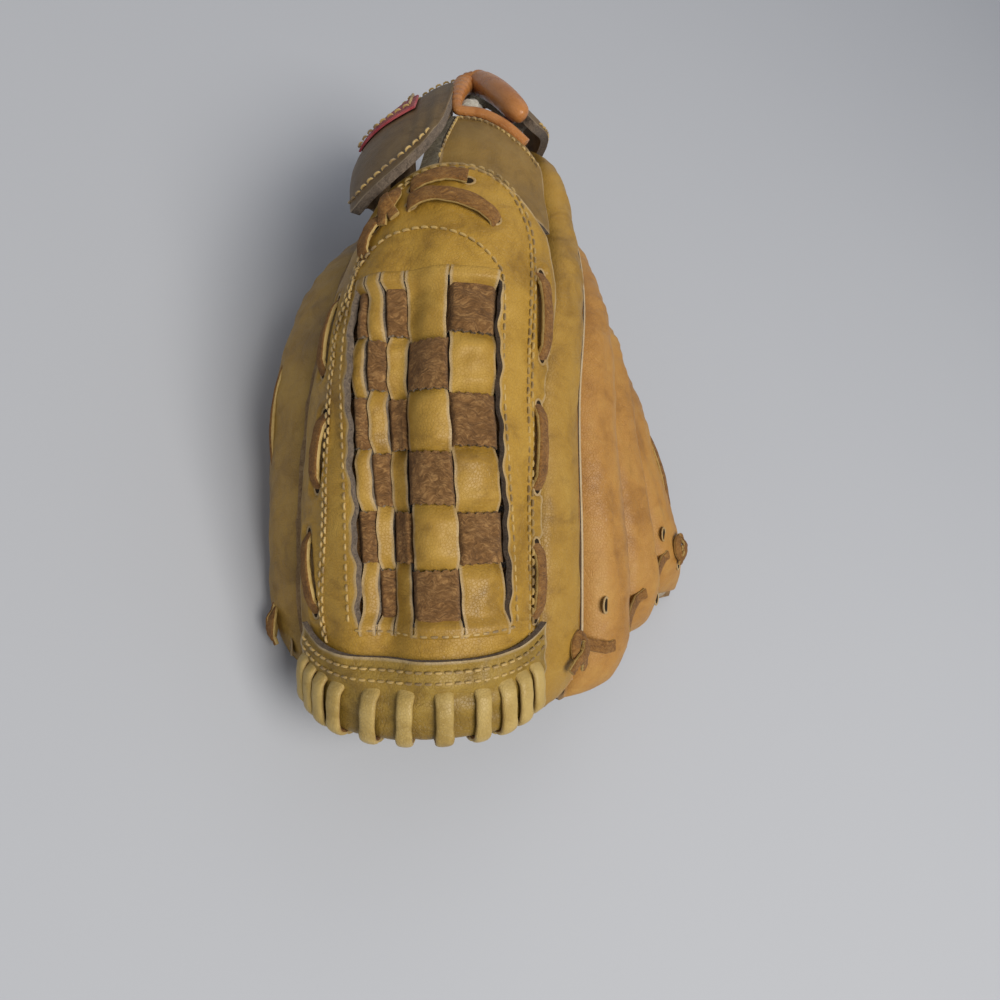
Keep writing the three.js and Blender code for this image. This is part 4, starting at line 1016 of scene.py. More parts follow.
# Its lower edge: a place across and the share of the glove's length it starts at there. It reaches down over
# the thumb's base beside the web and rises round the hand opening.
StrapEdge = namedtuple("StrapEdge", "across start")
STRAP_LOWER_EDGE = [
    StrapEdge(*place) for place in [
        (-98, 0.75), (-70, 0.735), (-50, 0.655), (-38, 0.598), (-28, 0.601), (-17, 0.622), (-11, 0.648),
        (-8, 0.674), (-5.5, 0.71), (-4.2, 0.8), (-2.5, 0.88), (3, 0.905), (9, 0.888), (14.5, 0.81),
        (20.5, 0.757), (27, 0.76), (36, 0.82), (48, 0.86), (118, 0.86)]]


def strap_start(across):
    return column("start", across, STRAP_LOWER_EDGE, "across")


def strap_point(across, share, height=0.0):
    """A place on the strap: share runs from its edge at the hand opening to its edge at the wrist."""
    along = between(strap_start(across), STRAP_EDGE, share)
    bulge = STRAP_BULGE * np.sin(math.pi * share) * strap_spread(across)
    to_thumb = smooth(0.5, 1, -across / STRAP_THUMB_END)
    to_heel = smooth(0.4, 1, across / STRAP_FINGER_END)
    seated = between(STRAP_RISE + bulge, STRAP_LEATHER + GAP, to_thumb)
    return between(on_form(across, along, seated + height),
                   palm_point(across, along, STRAP_LEATHER + SEAM_GAP + height), to_heel[..., None])


strap_grain = grain_leather(
    "strap leather", (0.06, 0.035, 0.012), (0.156, 0.096, 0.039), (0.228, 0.153, 0.069), 0.55,
    (0.4, 0.3, 0.18), 0.5, 0.3)
strap_x, strap_s = crossed(
    np.linspace(-STRAP_THUMB_END, STRAP_FINGER_END, 200), np.linspace(0, 1, 46))
strap_rim = 1 - np.abs(2 * strap_s - 1) ** 8
# Tucks gathered towards the opening, and the fold of a strap that has been pulled tight for years
strap_tucks = (0.6 * np.exp(-((strap_x + 8) / 9) ** 2) * np.sin(strap_x * 1.3 + 3 * strap_s)
               * (1 - strap_s) ** 1.5)
strap_relief = (0.5 * lumps(strap_x, strap_s * 0.12, 20, 101) + 0.12 * lumps(strap_x, strap_s * 0.12, 6, 102)
                + strap_tucks) * strap_rim
leather_sheet(
    "wrist_strap_leather", strap_point(strap_x, strap_s, strap_relief),
    strap_point(strap_x, strap_s, -STRAP_LEATHER), [strap_grain, palm_flesh, cut_edge],
    stands_for=["wrist_strap"], rests=True)


def patch_rim(across, share, power):
    """1 over a patch on the strap, falling to 0 at its rim."""
    off = [np.abs(2 * (line - line.min()) / (line.max() - line.min()) - 1) for line in (across, share)]
    return 1 - np.maximum(*off) ** power


wool_finish, wool_shader, wool_start, wool_place = finish("wool", 1.0, sheen=0.3, specular=0.1)
wool_curls = wool_start.node("TexVoronoi", {}, {
    "Vector": noise(wool_start, wool_place, 300.0, 3.0) * 0.02, "Scale": 90.0})
wool_fluff = noise(wool_start, wool_place, 480.0, 6.0, 0.8, 1.5)
wool_tones = [(0.3, (0.34, 0.28, 0.2)), (0.52, (0.6, 0.55, 0.44)), (0.7, (0.78, 0.74, 0.64))]
wool_colour = wool_start.node("ValToRGB", {"stops": wool_tones}, {0: wool_fluff * 0.8 + wool_curls * 0.2})
wire_up(wool_start, wool_shader, wool_colour, wool_fluff, 0.0012)
wool_x, wool_s = crossed(np.linspace(-3, 23, 90), np.linspace(0.12, 0.8, 50))
wool_relief = ((0.8 * lumps(wool_x, wool_s * 0.1, 5, 111) + 0.4 * lumps(wool_x, wool_s * 0.1, 2.4, 112))
               * patch_rim(wool_x, wool_s, 8))
under_strap = -STRAP_LEATHER - FOLD_GAP
wool = leather_sheet(
    "strap_wool_lining", strap_point(wool_x, wool_s, under_strap + np.minimum(wool_relief, 0.2)),
    strap_point(wool_x, wool_s, under_strap - WOOL_THICKNESS - wool_relief), [wool_finish] * 3,
    stands_for=["strap_wool"])

label_finish, label_shader, label_start, label_place = finish(
    "red woven label", 0.75, sheen=0.1, specular=0.3)
label_threads = label_start.node("TexWave", {"wave_type": "BANDS", "bands_direction": "DIAGONAL"}, {
    "Vector": label_place, "Scale": 900.0, "Distortion": 1.5, "Detail": 2.0})
label_wear = noise(label_start, label_place, 160.0, 5.0)
label_colour = mixed(label_wear.step(0.4, 0.65), (0.42, 0.045, 0.06), (0.55, 0.11, 0.11))
label_woven = mixed(label_threads * 0.35, label_colour, (0.2, 0.02, 0.03))
wire_up(label_start, label_shader, label_woven, label_threads, 0.0002)
label_x, label_s = crossed(np.linspace(-37, -15.7, 50), np.linspace(0.4, 0.8, 40))
label_lift = LABEL_GAP - 0.4 + LABEL_THICKNESS * (0.5 + 0.6 * patch_rim(label_x, label_s, 6))
leather_sheet(
    "plain_red_label", strap_point(label_x, label_s, label_lift),
    strap_point(label_x, label_s, LABEL_GAP - 0.7), [label_finish] * 3, stands_for=["strap_label"])

# Opening binding
# A strip of glossy orange leather is rolled over the strap's edge at the hand opening, plump and gathered
# into tucks at its thumb end. A flatter band of the same leather binds the hand back's edge below it.
ROLL_RADIUS = 4.5
HEM_STEPS = 150
BALL_SIDES = 33
BALL_RINGS = 18
orange_glossy = grain_leather(
    "binding leather", (0.216, 0.056, 0.007), (0.36, 0.109, 0.013), (0.446, 0.155, 0.027), 0.24,
    (0.5, 0.22, 0.07), 0.15, 0.04)


def roll(name, across, centres, radius, flatness, materials, stands_for=(), sides=28, wrinkle=0.28):
    """A plump roll of leather along a line, wrinkled round it and closed by rounded ends."""
    ahead = unit(np.gradient(centres, axis=0))
    under = strap_start(across) - (ROLL_RADIUS + FOLD_GAP) / GLOVE_LENGTH
    up = centres - on_form(across, under, STRAP_RISE - 5)
    sideways = unit(np.cross(ahead, up))
    up = np.cross(sideways, ahead)
    share = np.linspace(-1, 1, len(centres))
    end = np.sqrt(np.maximum(1 - np.abs(share) ** 9, 0)) ** 0.8
    turn = np.linspace(0, 2 * math.pi, sides, endpoint=False)
    swirl = across[:, None] * 2.6 + 1.2 * np.sin(2 * turn)[None, :]
    tucks = wrinkle * np.clip(-0.2 - share[:, None], 0, 1) * np.sin(swirl)
    size = (radius + tucks + 0.3 * np.sin(across / 5)[:, None]) * end[:, None]
    across_ring = np.cos(turn)[None, :, None] * sideways[:, None]
    up_ring = flatness * np.sin(turn)[None, :, None] * up[:, None]
    rings = centres[:, None] + size[..., None] * (across_ring + up_ring)
    quads = ring_faces(len(centres), sides)
    looks = np.zeros(len(quads), int)
    return piece(name, laid(rings.reshape(-1, 3)), quads, looks, materials, stands_for)


roll_x = np.linspace(5.2, 21, 110)
roll_slope = (strap_start(roll_x + 1) - strap_start(roll_x)) * GLOVE_LENGTH
roll_away = (ROLL_RADIUS + GAP) / np.hypot(roll_slope, 1)
roll_line = on_form(
    roll_x + roll_away * roll_slope, strap_start(roll_x) - roll_away / GLOVE_LENGTH, STRAP_RISE)
roll(
    "opening_roll", roll_x, roll_line, ROLL_RADIUS, 0.92, [orange_glossy],
    ["opening_binding"])
band_share = np.linspace(0, 1, 60)
band_y = hand_top(band_share) + 0.006
band_x = between(hand_left(band_y), hand_right(band_y), band_share)
hem_route = [roll_line[6], on_form(-0.6, 0.875, 4.2), on_form(-2.4, 0.83, 3.6), on_form(-3.4, 0.785, 2.8),
             on_form(-3.2, 0.762, 1.4), *on_form(band_x[6::9], band_y[6::9], 0.9)]
hem = smooth_path(hem_route, HEM_STEPS)
hem_share = np.linspace(0, 1, HEM_STEPS)
hem_tucks = 0.1 * np.sin(hem_share * 150) * (1 - smooth(0.3, 0.4, hem_share))
hem_size = between(2.3, 1.0, smooth(0.0, 0.4, hem_share)) * (1 + hem_tucks)
hem_up = np.tile(turned @ np.array([-0.2, 0.5, 1.0]), (HEM_STEPS, 1))
points, quads, looks = joined([swept(laid(hem), hem_up, 3.6 * MM, 3.0 * MM, 20, 0.95, hem_size)])
piece("opening_lower_band", points, quads, looks, [orange_glossy] * 3)
ball_turn, ball_rise = crossed(
    np.linspace(0, 2 * math.pi, BALL_SIDES), np.linspace(-0.5 * math.pi, 0.5 * math.pi, BALL_RINGS))


def tuft(name, seat, size, stretch, material):
    """A lump of pile in the opening: a ball drawn out along the glove's width."""
    ball = np.stack([np.cos(ball_turn) * np.cos(ball_rise) * stretch, np.sin(ball_turn) * np.cos(ball_rise),
                     np.sin(ball_rise)], -1)
    bumps = 1 + 0.09 * np.sin(ball_turn * 5 + ball_rise * 7) * np.cos(ball_rise)
    points = laid((seat + ball * (size * bumps)[..., None]).reshape(-1, 3))
    i, j = crossed(np.arange(BALL_SIDES - 1), np.arange(BALL_RINGS - 1))
    a = (i * BALL_RINGS + j).reshape(-1)
    quads = np.stack([a, a + BALL_RINGS, a + BALL_RINGS + 1, a + 1], 1)
    return piece(name, points, quads, np.zeros(len(quads), int), [material])


felt_finish = flesh_leather("pink felt", (0.2, 0.09, 0.075), (0.36, 0.19, 0.16), (0.5, 0.32, 0.27), 700.0)
tuft("opening_wool_ball", on_form(0.8, 0.8, -1.5), 3.6, 1.15, wool_finish)
tuft("opening_felt", on_form(11.5, 0.76, -2.0), 2.4, 2.2, felt_finish)

# Web top binding
# A strip of the web's hide folded over the panel's top edge and sewn through with two rows. It has wrinkled
# lengthwise under the pull of the spiral lace.
BINDING_DEPTH = 21.0
FOLD_INNER = LEATHER / 2 + FOLD_GAP


def fold_point(radius, across, turn, depth):
    """A place round the web's top edge: turn -1 to 1 goes round the fold, and beyond it down the two legs."""
    edge = web_top_edge(across) - GAP / GLOVE_LENGTH
    leg = np.maximum(np.abs(turn) - 1, 0) * depth
    angle = np.clip(turn, -1, 1) * math.pi / 2
    along = edge + (leg - radius * np.cos(angle)) / GLOVE_LENGTH
    return on_form(across, along, -LEATHER / 2 - radius * np.sin(angle))


fold_x, fold_t = crossed(
    np.linspace(1 - WEB_HALF_WIDTH, WEB_HALF_WIDTH - 1, 120),
    np.concatenate([np.linspace(-1.4, -1, 12)[:-1], np.linspace(-1, 1, 26), np.linspace(1, 2, 46)[1:]]))
leg_run = np.sign(fold_t) * (3 + (np.abs(fold_t) - 1) * BINDING_DEPTH)
fold_run = np.where(np.abs(fold_t) < 1, fold_t * 3, leg_run)
fold_relief = (0.35 * lumps(fold_x, fold_run / GLOVE_LENGTH, 12, 121)
               + 0.3 * np.sin(fold_run * 0.8 + 0.6 * np.sin(fold_x / 6)) * smooth(3, 8, fold_run)
               + 0.12 * lumps(fold_x, fold_run / GLOVE_LENGTH, 5, 122))
binding_grain = grain_leather(
    "web binding leather", (0.128, 0.071, 0.012), (0.297, 0.183, 0.031), (0.408, 0.272, 0.058), 0.42,
    (0.44, 0.34, 0.21), 0.5, 0.35)
leather_sheet(
    "web_top_binding_leather", fold_point(FOLD_INNER + LEATHER + fold_relief, fold_x, -fold_t, BINDING_DEPTH),
    fold_point(FOLD_INNER, fold_x, -fold_t, BINDING_DEPTH), [binding_grain, web_flesh, cut_edge],
    stands_for=["web_top_binding"])

# Laces
# Flat rawhide laces, cut about 4 mm wide, tie the glove together: a spiral round the web's top edge,
# stretches in the web's two borders, and short ones across the fingertips and down the outer edges. Those in
# the borders lie with their brown flesh side up, and the hide's golden grain shows at their edges.
LACE_WIDTH = 4.2
LACE_THICKNESS = 1.6
BORDER_LACE = {"width": 4.8, "thickness": 1.9}
CROTCH_LACE = {"width": 5.4, "thickness": 1.5}
WRAP_GAP = 1.2
WRAP_DEPTH = 12.0
lace_grain = grain_leather(
    "lace grain", (0.162, 0.09, 0.012), (0.323, 0.194, 0.027), (0.475, 0.315, 0.06), 0.42,
    (0.5, 0.36, 0.13), 0.4, 0.12)
lace_flesh = flesh_leather("lace flesh", (0.1, 0.042, 0.01), (0.235, 0.105, 0.024), (0.38, 0.2, 0.055), 620.0)
lace_golden = grain_leather(
    "lace edge", (0.18, 0.093, 0.015), (0.342, 0.2, 0.036), (0.468, 0.297, 0.072), 0.55,
    (0.5, 0.36, 0.14), 0.4, 0.1)
lace_sides = [lace_flesh, lace_grain, lace_golden]
# The holes' finish is painted shade: near-black, faintly mottled by noise.
hole_dark, hole_shader, hole_start, hole_place = finish("shaded hole", 0.95, specular=0.1)
hole_shade_noise = noise(hole_start, hole_place, 300.0)
hole_colour = mixed(hole_shade_noise, (0.012, 0.008, 0.005), (0.04, 0.026, 0.014))
wire_up(hole_start, hole_shader, hole_colour, hole_shade_noise, 0.0003)


def lace_run(centres, faces, width=LACE_WIDTH, thickness=LACE_THICKNESS, plump=0.5):
    """One stretch of lace through places in the frame, slightly uneven in width, as a swept strip."""
    share = np.linspace(0, 1, len(centres))
    uneven = 1 + 0.04 * np.sin(share * 17 + len(centres)) + 0.03 * np.sin(share * 41)
    return swept(centres, faces, width * MM, thickness * MM, 16, plump, uneven)


def form_lace(route, count=60, **sizes):
    """A lace over the form through places given as across, along and height."""
    places = smooth_path(route, count)
    seats = on_form(*places.T)
    return lace_run(laid(seats), laid(seats + outwards(*places.T[:2])) - laid(seats), **sizes)


def lace_piece(name, parts, materials, nodes=()):
    points, quads, looks = joined(parts)
    return piece(name, points, quads, looks, materials, nodes)


# The spiral's turns, as shares of the web's half width, and how far round the fold its runner lies
WRAP_PLACES = [-0.95, -0.84, -0.73, -0.6, -0.34, -0.1, 0.16, 0.4, 0.6, 0.74, 0.88]
WRAP_RADIUS = FOLD_INNER + LEATHER + WRAP_GAP + LACE_THICKNESS / 2
RUNNER_TURN = 1.35
WRAP_THICKNESS = 2.3
wrap_draw = random.Random(7)
wraps = []
for share in WRAP_PLACES:
    turn = np.linspace(-2.1, RUNNER_TURN, 70)
    lean = wrap_draw.uniform(-1.0, 1.0)
    across = share * WEB_HALF_WIDTH + lean * turn / 2
    tight = -0.9 * smooth(0.3, 1.0, np.abs(np.abs(turn) - 1.1)) * (turn < 0)
    dive = -2.6 * smooth(1.75, 2.1, -turn)
    radius = WRAP_RADIUS - 0.45 + tight + dive
    centres = fold_point(radius, across, turn, WRAP_DEPTH)
    faces = centres - fold_point(radius - 1, across, turn, WRAP_DEPTH)
    width = LACE_WIDTH * wrap_draw.uniform(1.15, 1.32)
    wraps.append(lace_run(laid(centres), faces @ turned.T, width, WRAP_THICKNESS, plump=0.8))
runner_x = np.linspace(WRAP_PLACES[0], WRAP_PLACES[-1], 90) * WEB_HALF_WIDTH
runner = fold_point(WRAP_RADIUS, runner_x, np.full_like(runner_x, RUNNER_TURN), WRAP_DEPTH)
wraps.append(lace_run(laid(runner), -outwards(runner_x, np.full_like(runner_x, WEB_TOP)) @ turned.T))
lace_piece("web_top_spiral_lace", wraps, [lace_grain, lace_flesh, lace_golden], ["web_top_lace"])

# A border lace dives in at both ends: a share of its run and the height there
LACE_RISE = [(-0.1, -1.6), (0.03, 0.2), (0.15, 1.0), (0.5, 1.5), (0.85, 1.0), (0.97, 0.2), (1.1, -1.6)]
for stretch in SIDE_LACES:
    route = [(between(stretch.first, stretch.last, share), between(stretch.start, stretch.end, share), height)
             for share, height in LACE_RISE]
    lace_piece(stretch.name + "_rawhide", [form_lace(route, 70, **BORDER_LACE)], lace_sides, [stretch.name])

# Two stretches lie across the web's crotch, and a third comes out of the knot there
CrotchLace = namedtuple("CrotchLace", "node route")
CROTCH_LACES = [
    CrotchLace("crotch_lace_upper", [
        (-15, 0.6, -1.2), (-13, 0.601, 0.9), (-8, 0.606, 1.6), (-3, 0.609, 1.5), (3.4, 0.606, 1.2)]),
    CrotchLace("crotch_lace_lower", [
        (-15, 0.575, -1.2), (-13, 0.576, 1.1), (-8, 0.58, 1.9), (-2, 0.578, 1.8), (6, 0.57, 1.5),
        (12, 0.558, 1.0), (14.4, 0.553, -1.2)]),
    CrotchLace("crotch_lace_end", [
        (-25.5, 0.568, 0.2), (-27, 0.56, 1.4), (-29, 0.545, 1.6), (-30, 0.532, 0.9), (-30.4, 0.522, -1.2)]),
]
for stretch in CROTCH_LACES:
    lace_piece(
        stretch.node + "_rawhide", [form_lace(stretch.route, 60, **CROTCH_LACE)], lace_sides, [stretch.node])

# Laces on the stalls: where each lies, as t and along on its stalls, and the gap under it. Their ends dive
# in.
StallLace = namedtuple("StallLace", "node gap route")
STALL_LACES = [
    StallLace("thumb_edge_lace", FOLD_GAP, [
        ("thumb", 0.2, 0.46), ("thumb", 0.2, 0.4), ("thumb", 0.2, 0.34), ("thumb", 0.2, 0.28)]),
    StallLace("pinky_edge_lace", FOLD_GAP, [
        ("pinky", 0.3, 0.4), ("pinky", 0.35, 0.35), ("pinky", 0.4, 0.3), ("pinky", 0.42, 0.25)]),
    StallLace("tip_lace_index", WRAP_GAP, [
        ("index", 0.5, 0.075), ("index", 0.75, 0.07), ("middle", -0.7, 0.06), ("middle", -0.4, 0.06)]),
    StallLace("tip_lace_middle", WRAP_GAP, [
        ("middle", 0.4, 0.075), ("middle", 0.7, 0.085), ("ring", -0.7, 0.105), ("ring", -0.4, 0.115)]),
    StallLace("tip_lace_ring", WRAP_GAP, [
        ("ring", 0.4, 0.125), ("ring", 0.7, 0.135), ("pinky", -0.7, 0.155), ("pinky", -0.45, 0.165)]),
]
END_DIVE = 2.2
SETTLED = 0.4
STALLS = {stall.name.split("_")[0]: (stall, finger_wall) for stall in FINGERS}
STALLS["thumb"] = (THUMB, thumb_wall)


def on_stall(key, t, along, height=0.0):
    return stall_point(*STALLS[key], t, np.asarray(along, float), height)


for stretch in STALL_LACES:
    lift = stretch.gap + LACE_THICKNESS / 2
    last = len(stretch.route) - 1
    seats = [on_stall(*place, lift - (END_DIVE if i in (0, last) else SETTLED))
             for i, place in enumerate(stretch.route)]
    ups = [on_stall(*place, lift + 1) - on_stall(*place, lift) for place in stretch.route]
    centres = laid(smooth_path(seats, 60))
    faces = smooth_path(ups, 60) @ turned.T
    lace_piece(stretch.node + "_rawhide", [lace_run(centres, faces)], lace_sides, [stretch.node])

# Knots
# Each long lace ends in a knot on the outside: one turn of the lace pulled tight, and two stub ends under it.
def seat_axes(up, heading):
    """A seat's upward way, a heading laid flat on the seat, and the way beside it."""
    up = unit(up)
    heading = unit(heading - up * (heading @ up))
    return up, heading, np.cross(up, heading)


def knot_piece(node, seat, up, heading, ring=5.0, stubs=((0.6, 9.0), (2.4, 8.0))):
    """A turn of lace and two stubs. heading is the way the ring is drawn out, in the frame."""
    up, heading, side = seat_axes(up, heading)
    turn = np.linspace(0, 2 * math.pi, 64)
    centres = seat + MM * (
        np.outer(np.cos(turn) * ring * 0.78, heading) + np.outer(np.sin(turn) * ring * 0.5, side)
        + np.outer(1.9 + 0.9 * np.sin(turn + 0.6), up))
    faces = np.outer(np.cos(turn) * 0.55, heading) + np.outer(np.sin(turn) * 0.55, side) + up
    parts = [lace_run(centres, faces, width=LACE_WIDTH * 0.9)]
    for angle, length in stubs:
        way = math.cos(angle) * heading + math.sin(angle) * side
        stops = [(2.9, -1.5), (3.5, 1.5), (2.0, length * 0.6), (1.0, length)]
        line = smooth_path([seat + (up * high + way * out) * MM for high, out in stops], 24)
        parts.append(lace_run(line, np.tile(up, (24, 1)), width=LACE_WIDTH * 0.85))
    lace_piece(node + "_rawhide", parts, lace_sides, [node])


knot_up = outwards(*CROTCH_KNOT_PLACE) @ turned.T
knot_heading = turned @ np.array([-0.4, -1.0, 0])
knot_piece("crotch_knot", laid(knot_seat), knot_up, knot_heading, 5.0, ((0.2, 8.0), (0.9, 7.0)))
STALL_KNOTS = [
    ("thumb_knot", "thumb", 0.3, 0.1, (0.1, -1.0, 0), ((0.2, 7.0), (3.4, 7.0))),
    ("index_knot", "index", 0.0, 0.075, (0.2, -1.0, 0), ((0.5, 9.0), (-0.7, 9.0))),
    ("pinky_knot", "pinky", 0.0, 0.175, (0.2, -1.0, 0), ((0.1, 7.0), (2.8, 6.0))),
]
for node, key, t, along, heading, stubs in STALL_KNOTS:
    low, high = laid(on_stall(key, t, along, 0.2)), laid(on_stall(key, t, along, 1.2))
    knot_piece(node, low, high - low, turned @ np.array(heading), 5.2, stubs)

# Lace holes
# Where a lace goes in, the leather is punched and the hole has stretched into a dark oval with a rounded rim.
# The dark is painted shade on a flat disc laid just over the leather.
HoleRow = namedtuple("HoleRow", "key t along size")
HOLES = [
    HoleRow("thumb", 0.55, 0.075, 2.4), HoleRow("middle", -0.62, 0.115, 2.2), HoleRow("ring", 0.35, 0.1, 2.0),
    HoleRow("pinky", -0.55, 0.2, 2.2), HoleRow("pinky", 0.15, 0.145, 1.8), HoleRow("index", 0.62, 0.055, 2.0),
]
HOLE_SIDES = 28
rims, pits = [], []


def hole(seat, up, heading, size):
    """A disc of painted shade with a rounded rim round it, a little longer along its heading."""
    up, heading, side = seat_axes(up, heading)
    turn = np.linspace(0, 2 * math.pi, HOLE_SIDES + 1)
    circle = np.outer(np.cos(turn) * 1.25, heading) + np.outer(np.sin(turn), side)
    rim_line = seat + circle * size * MM + up * 0.15 * MM
    rims.append(swept(rim_line, np.tile(up, (HOLE_SIDES + 1, 1)), 0.9 * MM, 0.7 * MM, 8, 0.9))
    # The pit is a flat disc of painted shade just over the leather, standing in for the hole's depth.
    levels = [circle[:HOLE_SIDES] * size * share * MM + up * 0.3 * MM for share in (0.98, 0.5, 0.02)]
    points, quads = seat + np.concatenate(levels), ring_faces(len(levels), HOLE_SIDES)
    pits.append((points, quads, np.zeros(len(quads), int)))


for row in HOLES:
    low, high = laid(on_stall(row.key, row.t, row.along, 0.1)), laid(on_stall(row.key, row.t, row.along, 1.1))
    hole(low, high - low, turned @ np.array([0.1, 1.0, 0]), row.size)
for x, y in HOLE_DENTS:
    seat = laid(on_form(x, y, -0.75))
    hole(seat, outwards(x, y) @ turned.T, turned @ np.array([1.0, 0.1, 0]), 1.7)
for stretch in SIDE_LACES:
    for x, y in ((stretch.first, stretch.start - 0.005), (stretch.last, stretch.end + 0.005)):
        seat = laid(on_form(x, y, -0.85))
        hole(seat, outwards(x, y) @ turned.T, turned @ np.array([0, 1.0, 0]), 2.0)
lace_piece("lace_hole_rims", rims, [web_grain, web_grain, web_grain])
lace_piece("lace_hole_shadows", pits, [hole_dark])

# Stitching
# Waxed golden thread in lockstitch rows. Each stitch is a short plump length of thread that sinks into the
# leather at both ends.
STITCH_LENGTH = 3.0
STITCH_GAP = 0.8
# The thread's radius
THREAD = 0.42
STITCH_RINGS = 5
STITCH_SIDES = 6
# A row ends this far above the ground where its leather lies on it
THREAD_GROUND = 1.0
thread_finish, thread_shader, thread_start, thread_place = finish("waxed thread", 0.5, sheen=0.2)
thread_twist = noise(thread_start, thread_place, 2200.0, 2.0)
thread_dirt = noise(thread_start, thread_place, 130.0, 4.0)
thread_colour = mixed(thread_dirt.step(0.42, 0.64), (0.46, 0.3, 0.085), (0.2, 0.12, 0.035))
wire_up(thread_start, thread_shader, thread_colour, thread_twist, 0.0001)


def stitch_row(place, start, end, steps=400, length=STITCH_LENGTH):
    """Stitches along a line over a surface, each sinking into it at both ends. place gives a point for a
    share and a height.
    """
    share = np.linspace(start, end, steps)
    line = place(share, 0.0)
    run = np.concatenate([[0], np.cumsum(np.linalg.norm(np.diff(line, axis=0), axis=1))])
    count = max(int(run[-1] / length), 1)
    rings = np.array([0.0, 0.16, 0.5, 0.84, 1.0])
    lift = np.array([-0.25, 0.25, 0.42, 0.25, -0.25])
    girth = np.array([0.35, 0.95, 1.0, 0.95, 0.35])
    body = STITCH_GAP / 2 + rings * (run[-1] / count - STITCH_GAP)
    at = np.interp(np.arange(count)[:, None] * run[-1] / count + body, run, share)
    centres, raised = (place(at, np.broadcast_to(height, at.shape)) for height in (lift, lift + 1))
    clear = laid(centres)[:, :, 2].min(axis=1) > THREAD_GROUND * MM
    centres, raised, count = centres[clear], raised[clear], int(clear.sum())
    up = raised - centres
    ahead = np.gradient(centres, axis=1)
    sideways = unit(np.cross(ahead, up))
    up = unit(np.cross(sideways, ahead))
    turn = np.arange(STITCH_SIDES) * 2 * math.pi / STITCH_SIDES
    out = (np.cos(turn)[:, None] * sideways[:, :, None] + np.sin(turn)[:, None] * up[:, :, None])
    points = (centres[:, :, None] + out * (THREAD * girth)[None, :, None, None]).reshape(-1, 3)
    starts = np.arange(count)[:, None, None] * STITCH_RINGS * STITCH_SIDES
    quads = (ring_faces(STITCH_RINGS, STITCH_SIDES)[None] + starts).reshape(-1, 4)
    return laid(points), quads, np.zeros(len(quads), int)


def form_row(route, height=0.0, **sizes):
    """A row over the form through places given as across and along."""
    path = smooth_path(route, 300)
    grid = np.linspace(0, 1, 300)

    def place(share, lift):
        return on_form(np.interp(share, grid, path[:, 0]), np.interp(share, grid, path[:, 1]), height + lift)
    return stitch_row(place, 0, 1, **sizes)


# Rows of the web's seams, as places across and along it
SEAM_OUT = [(-33, 0.1), (-34.7, 0.141), (-33.5, 0.228), (-34.5, 0.382), (-37, 0.45), (-31, 0.54), (-22, 0.6),
            (-8, 0.6265), (7, 0.6255), (18, 0.603), (27, 0.552), (31, 0.48), (34.5, 0.4), (36.8, 0.327),
            (37.5, 0.25), (38.2, 0.18), (38.5, 0.09)]
SEAM_IN = [(-22.5, 0.12), (-25.5, 0.3), (-33, 0.485), (-30, 0.515), (-22, 0.535), (-14, 0.541), (-5, 0.54),
           (6, 0.528), (15, 0.505), (19.5, 0.475), (25, 0.35), (28.5, 0.25), (31.5, 0.118)]
SEAM_ENDS = [(-21, 0.113), (-9, 0.1105), (5, 0.1095), (19, 0.1105), (31, 0.114)]
SEAM_SECOND = [(x * 0.955, y - 0.0055) for x, y in SEAM_OUT]
web_rows_sewn = [form_row(route) for route in (SEAM_OUT, SEAM_SECOND, SEAM_IN, SEAM_ENDS)]
lace_piece("web_seam_stitches", web_rows_sewn, [thread_finish])

def binding_place(depth):
    """A row down the outer leg of the web's binding, so far from its fold."""
    def place(share, lift):
        across = share * (WEB_HALF_WIDTH - 2)
        turn = np.full_like(across, -(1 + depth))
        return fold_point(FOLD_INNER + LEATHER + 0.15 + lift, across, turn, BINDING_DEPTH)
    return place


binding_rows = [stitch_row(binding_place(depth), -1, 1, length=2.8) for depth in (0.7, 0.85)]
lace_piece("web_binding_stitches", binding_rows, [thread_finish])
hand_side = [(hand_left(y) + 1.0, y) for y in (0.645, 0.68, 0.71, 0.745)]
hand_end = [(between(hand_left(hand_top(share)), hand_right(hand_top(share)), share), hand_top(share) - 0.011)
            for share in (0.02, 0.25, 0.5, 0.75, 0.98)]
hand_rows = [form_row(hand_side, 0.1, length=2.6), form_row(hand_end, 0.1, length=2.2)]
lace_piece("hand_back_stitches", hand_rows, [thread_finish])


def strap_row(first, last, start, end, lift):
    """A row over the strap, between two places given as across and share."""
    def place(share, height):
        return strap_point(between(first, last, share), between(start, end, share), lift + height)
    return stitch_row(place, 0, 1, length=3.2)


SEAM_LIFT = 0.15
LABEL_LIFT = LABEL_GAP + LABEL_THICKNESS - 0.2
STRAP_SEAMS = [(-92, 112, 0.955, 0.955), (-92, -9, 0.04, 0.05), (24, 112, 0.08, 0.08)]
LABEL_SEAMS = [(-36, -16.7, 0.42, 0.42), (-36, -16.7, 0.78, 0.78), (-36, -36, 0.42, 0.78),
               (-16.7, -16.7, 0.42, 0.78)]
strap_rows = [strap_row(*ends, SEAM_LIFT) for ends in STRAP_SEAMS]
label_rows = [strap_row(*ends, LABEL_LIFT) for ends in LABEL_SEAMS]
lace_piece("wrist_strap_stitches", strap_rows + label_rows, [thread_finish])

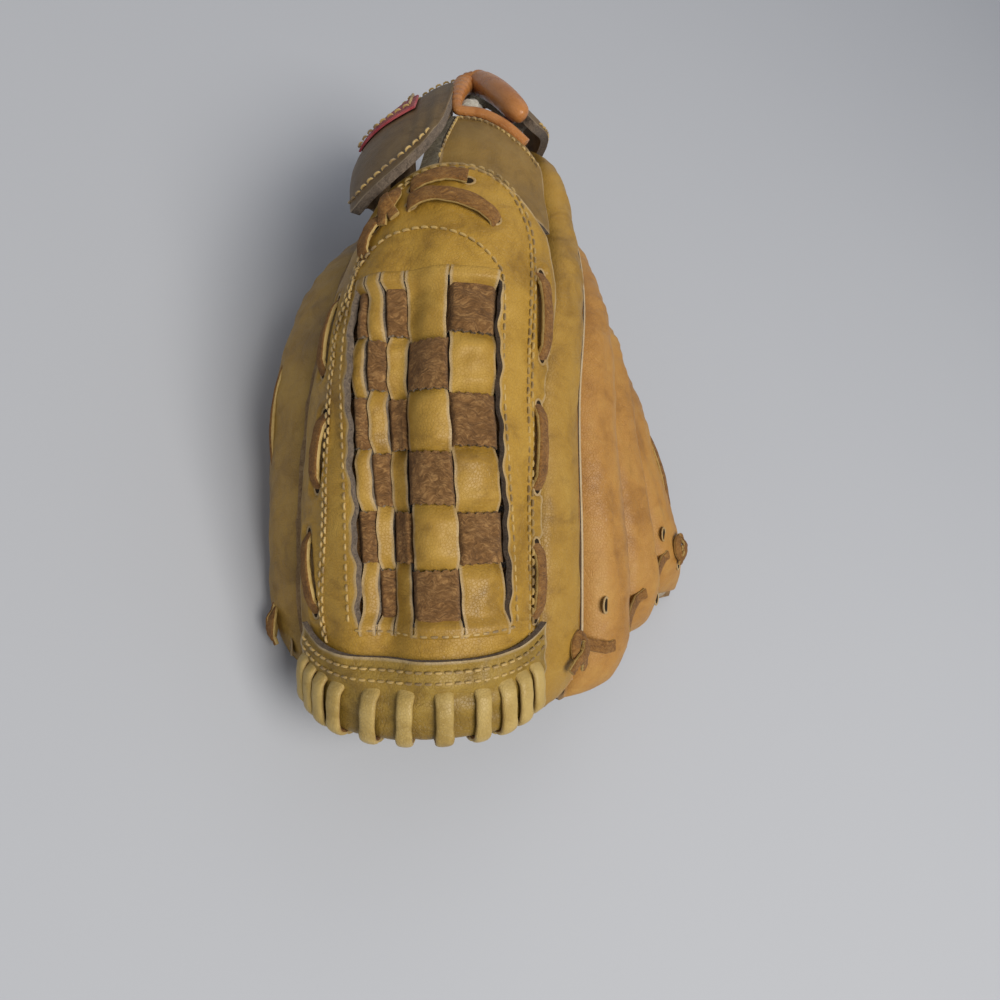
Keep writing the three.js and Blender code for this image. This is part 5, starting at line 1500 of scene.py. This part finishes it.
# Floor, light and camera
# The glove lies on a plain pale grey floor. A broad soft light stands high on the finger side and a weaker,
# cooler one fills from the thumb's, so the shadow falls to the thumb's side.
floor_finish, floor_shader, floor_start, floor_place = finish("grey floor", 0.8, specular=0.2)
floor_cloud = noise(floor_start, floor_place, 3.0)
floor_colour = mixed(floor_cloud, (0.44, 0.45, 0.475), (0.46, 0.47, 0.49))
wire_up(floor_start, floor_shader, floor_colour, floor_cloud, 0.0001)
bpy.ops.mesh.primitive_plane_add(size=6.0, location=(0, 0, -0.0002))
floor = bpy.context.object
floor.name = "floor"
floor.data.materials.append(floor_finish)

Lamp = namedtuple("Lamp", "name way distance size power colour")
LAMPS = [
    Lamp("key_light", (0.17, -0.47, 0.87), 1.6, 0.9, 24.0, (1.0, 0.97, 0.92)),
    Lamp("back_light", (0.3, 0.9, 0.7), 1.8, 1.4, 3.0, (0.95, 0.97, 1.0)),
    Lamp("fill_light", (-0.9, -0.3, 0.6), 1.8, 1.6, 1.5, (0.85, 0.92, 1.0)),
]
for lamp in LAMPS:
    data = bpy.data.lights.new(lamp.name, "AREA")
    data.energy, data.size, data.color = lamp.power, lamp.size, lamp.colour
    light = bpy.data.objects.new(lamp.name, data)
    way = np.array(lamp.way) / np.linalg.norm(lamp.way)
    light.location = Vector(way * lamp.distance)
    light.rotation_euler = Vector(way).to_track_quat("Z", "Y").to_euler()
    bpy.context.collection.objects.link(light)

world = bpy.data.worlds.new("sky")
world.use_nodes = True
world.node_tree.nodes["Background"].inputs["Color"].default_value = (0.86, 0.9, 1.0, 1)
world.node_tree.nodes["Background"].inputs["Strength"].default_value = 0.32
bpy.context.scene.world = world
bpy.context.scene.view_settings.view_transform = "Standard"

# The view is from above the web's middle, straight down on it. The place is in the form's millimetres.
CAMERA_PLACE = np.array([17.4, -14.5, 246.4])
camera_data = bpy.data.cameras.new("camera")
camera_data.lens = 30.6
camera_data.sensor_width = 36.0
camera_data.clip_start = 0.01
camera = bpy.data.objects.new("camera", camera_data)
camera.matrix_world = Matrix(turned.tolist()).to_4x4()
camera.location = Vector(laid(CAMERA_PLACE))
bpy.context.collection.objects.link(camera)
bpy.context.scene.camera = camera
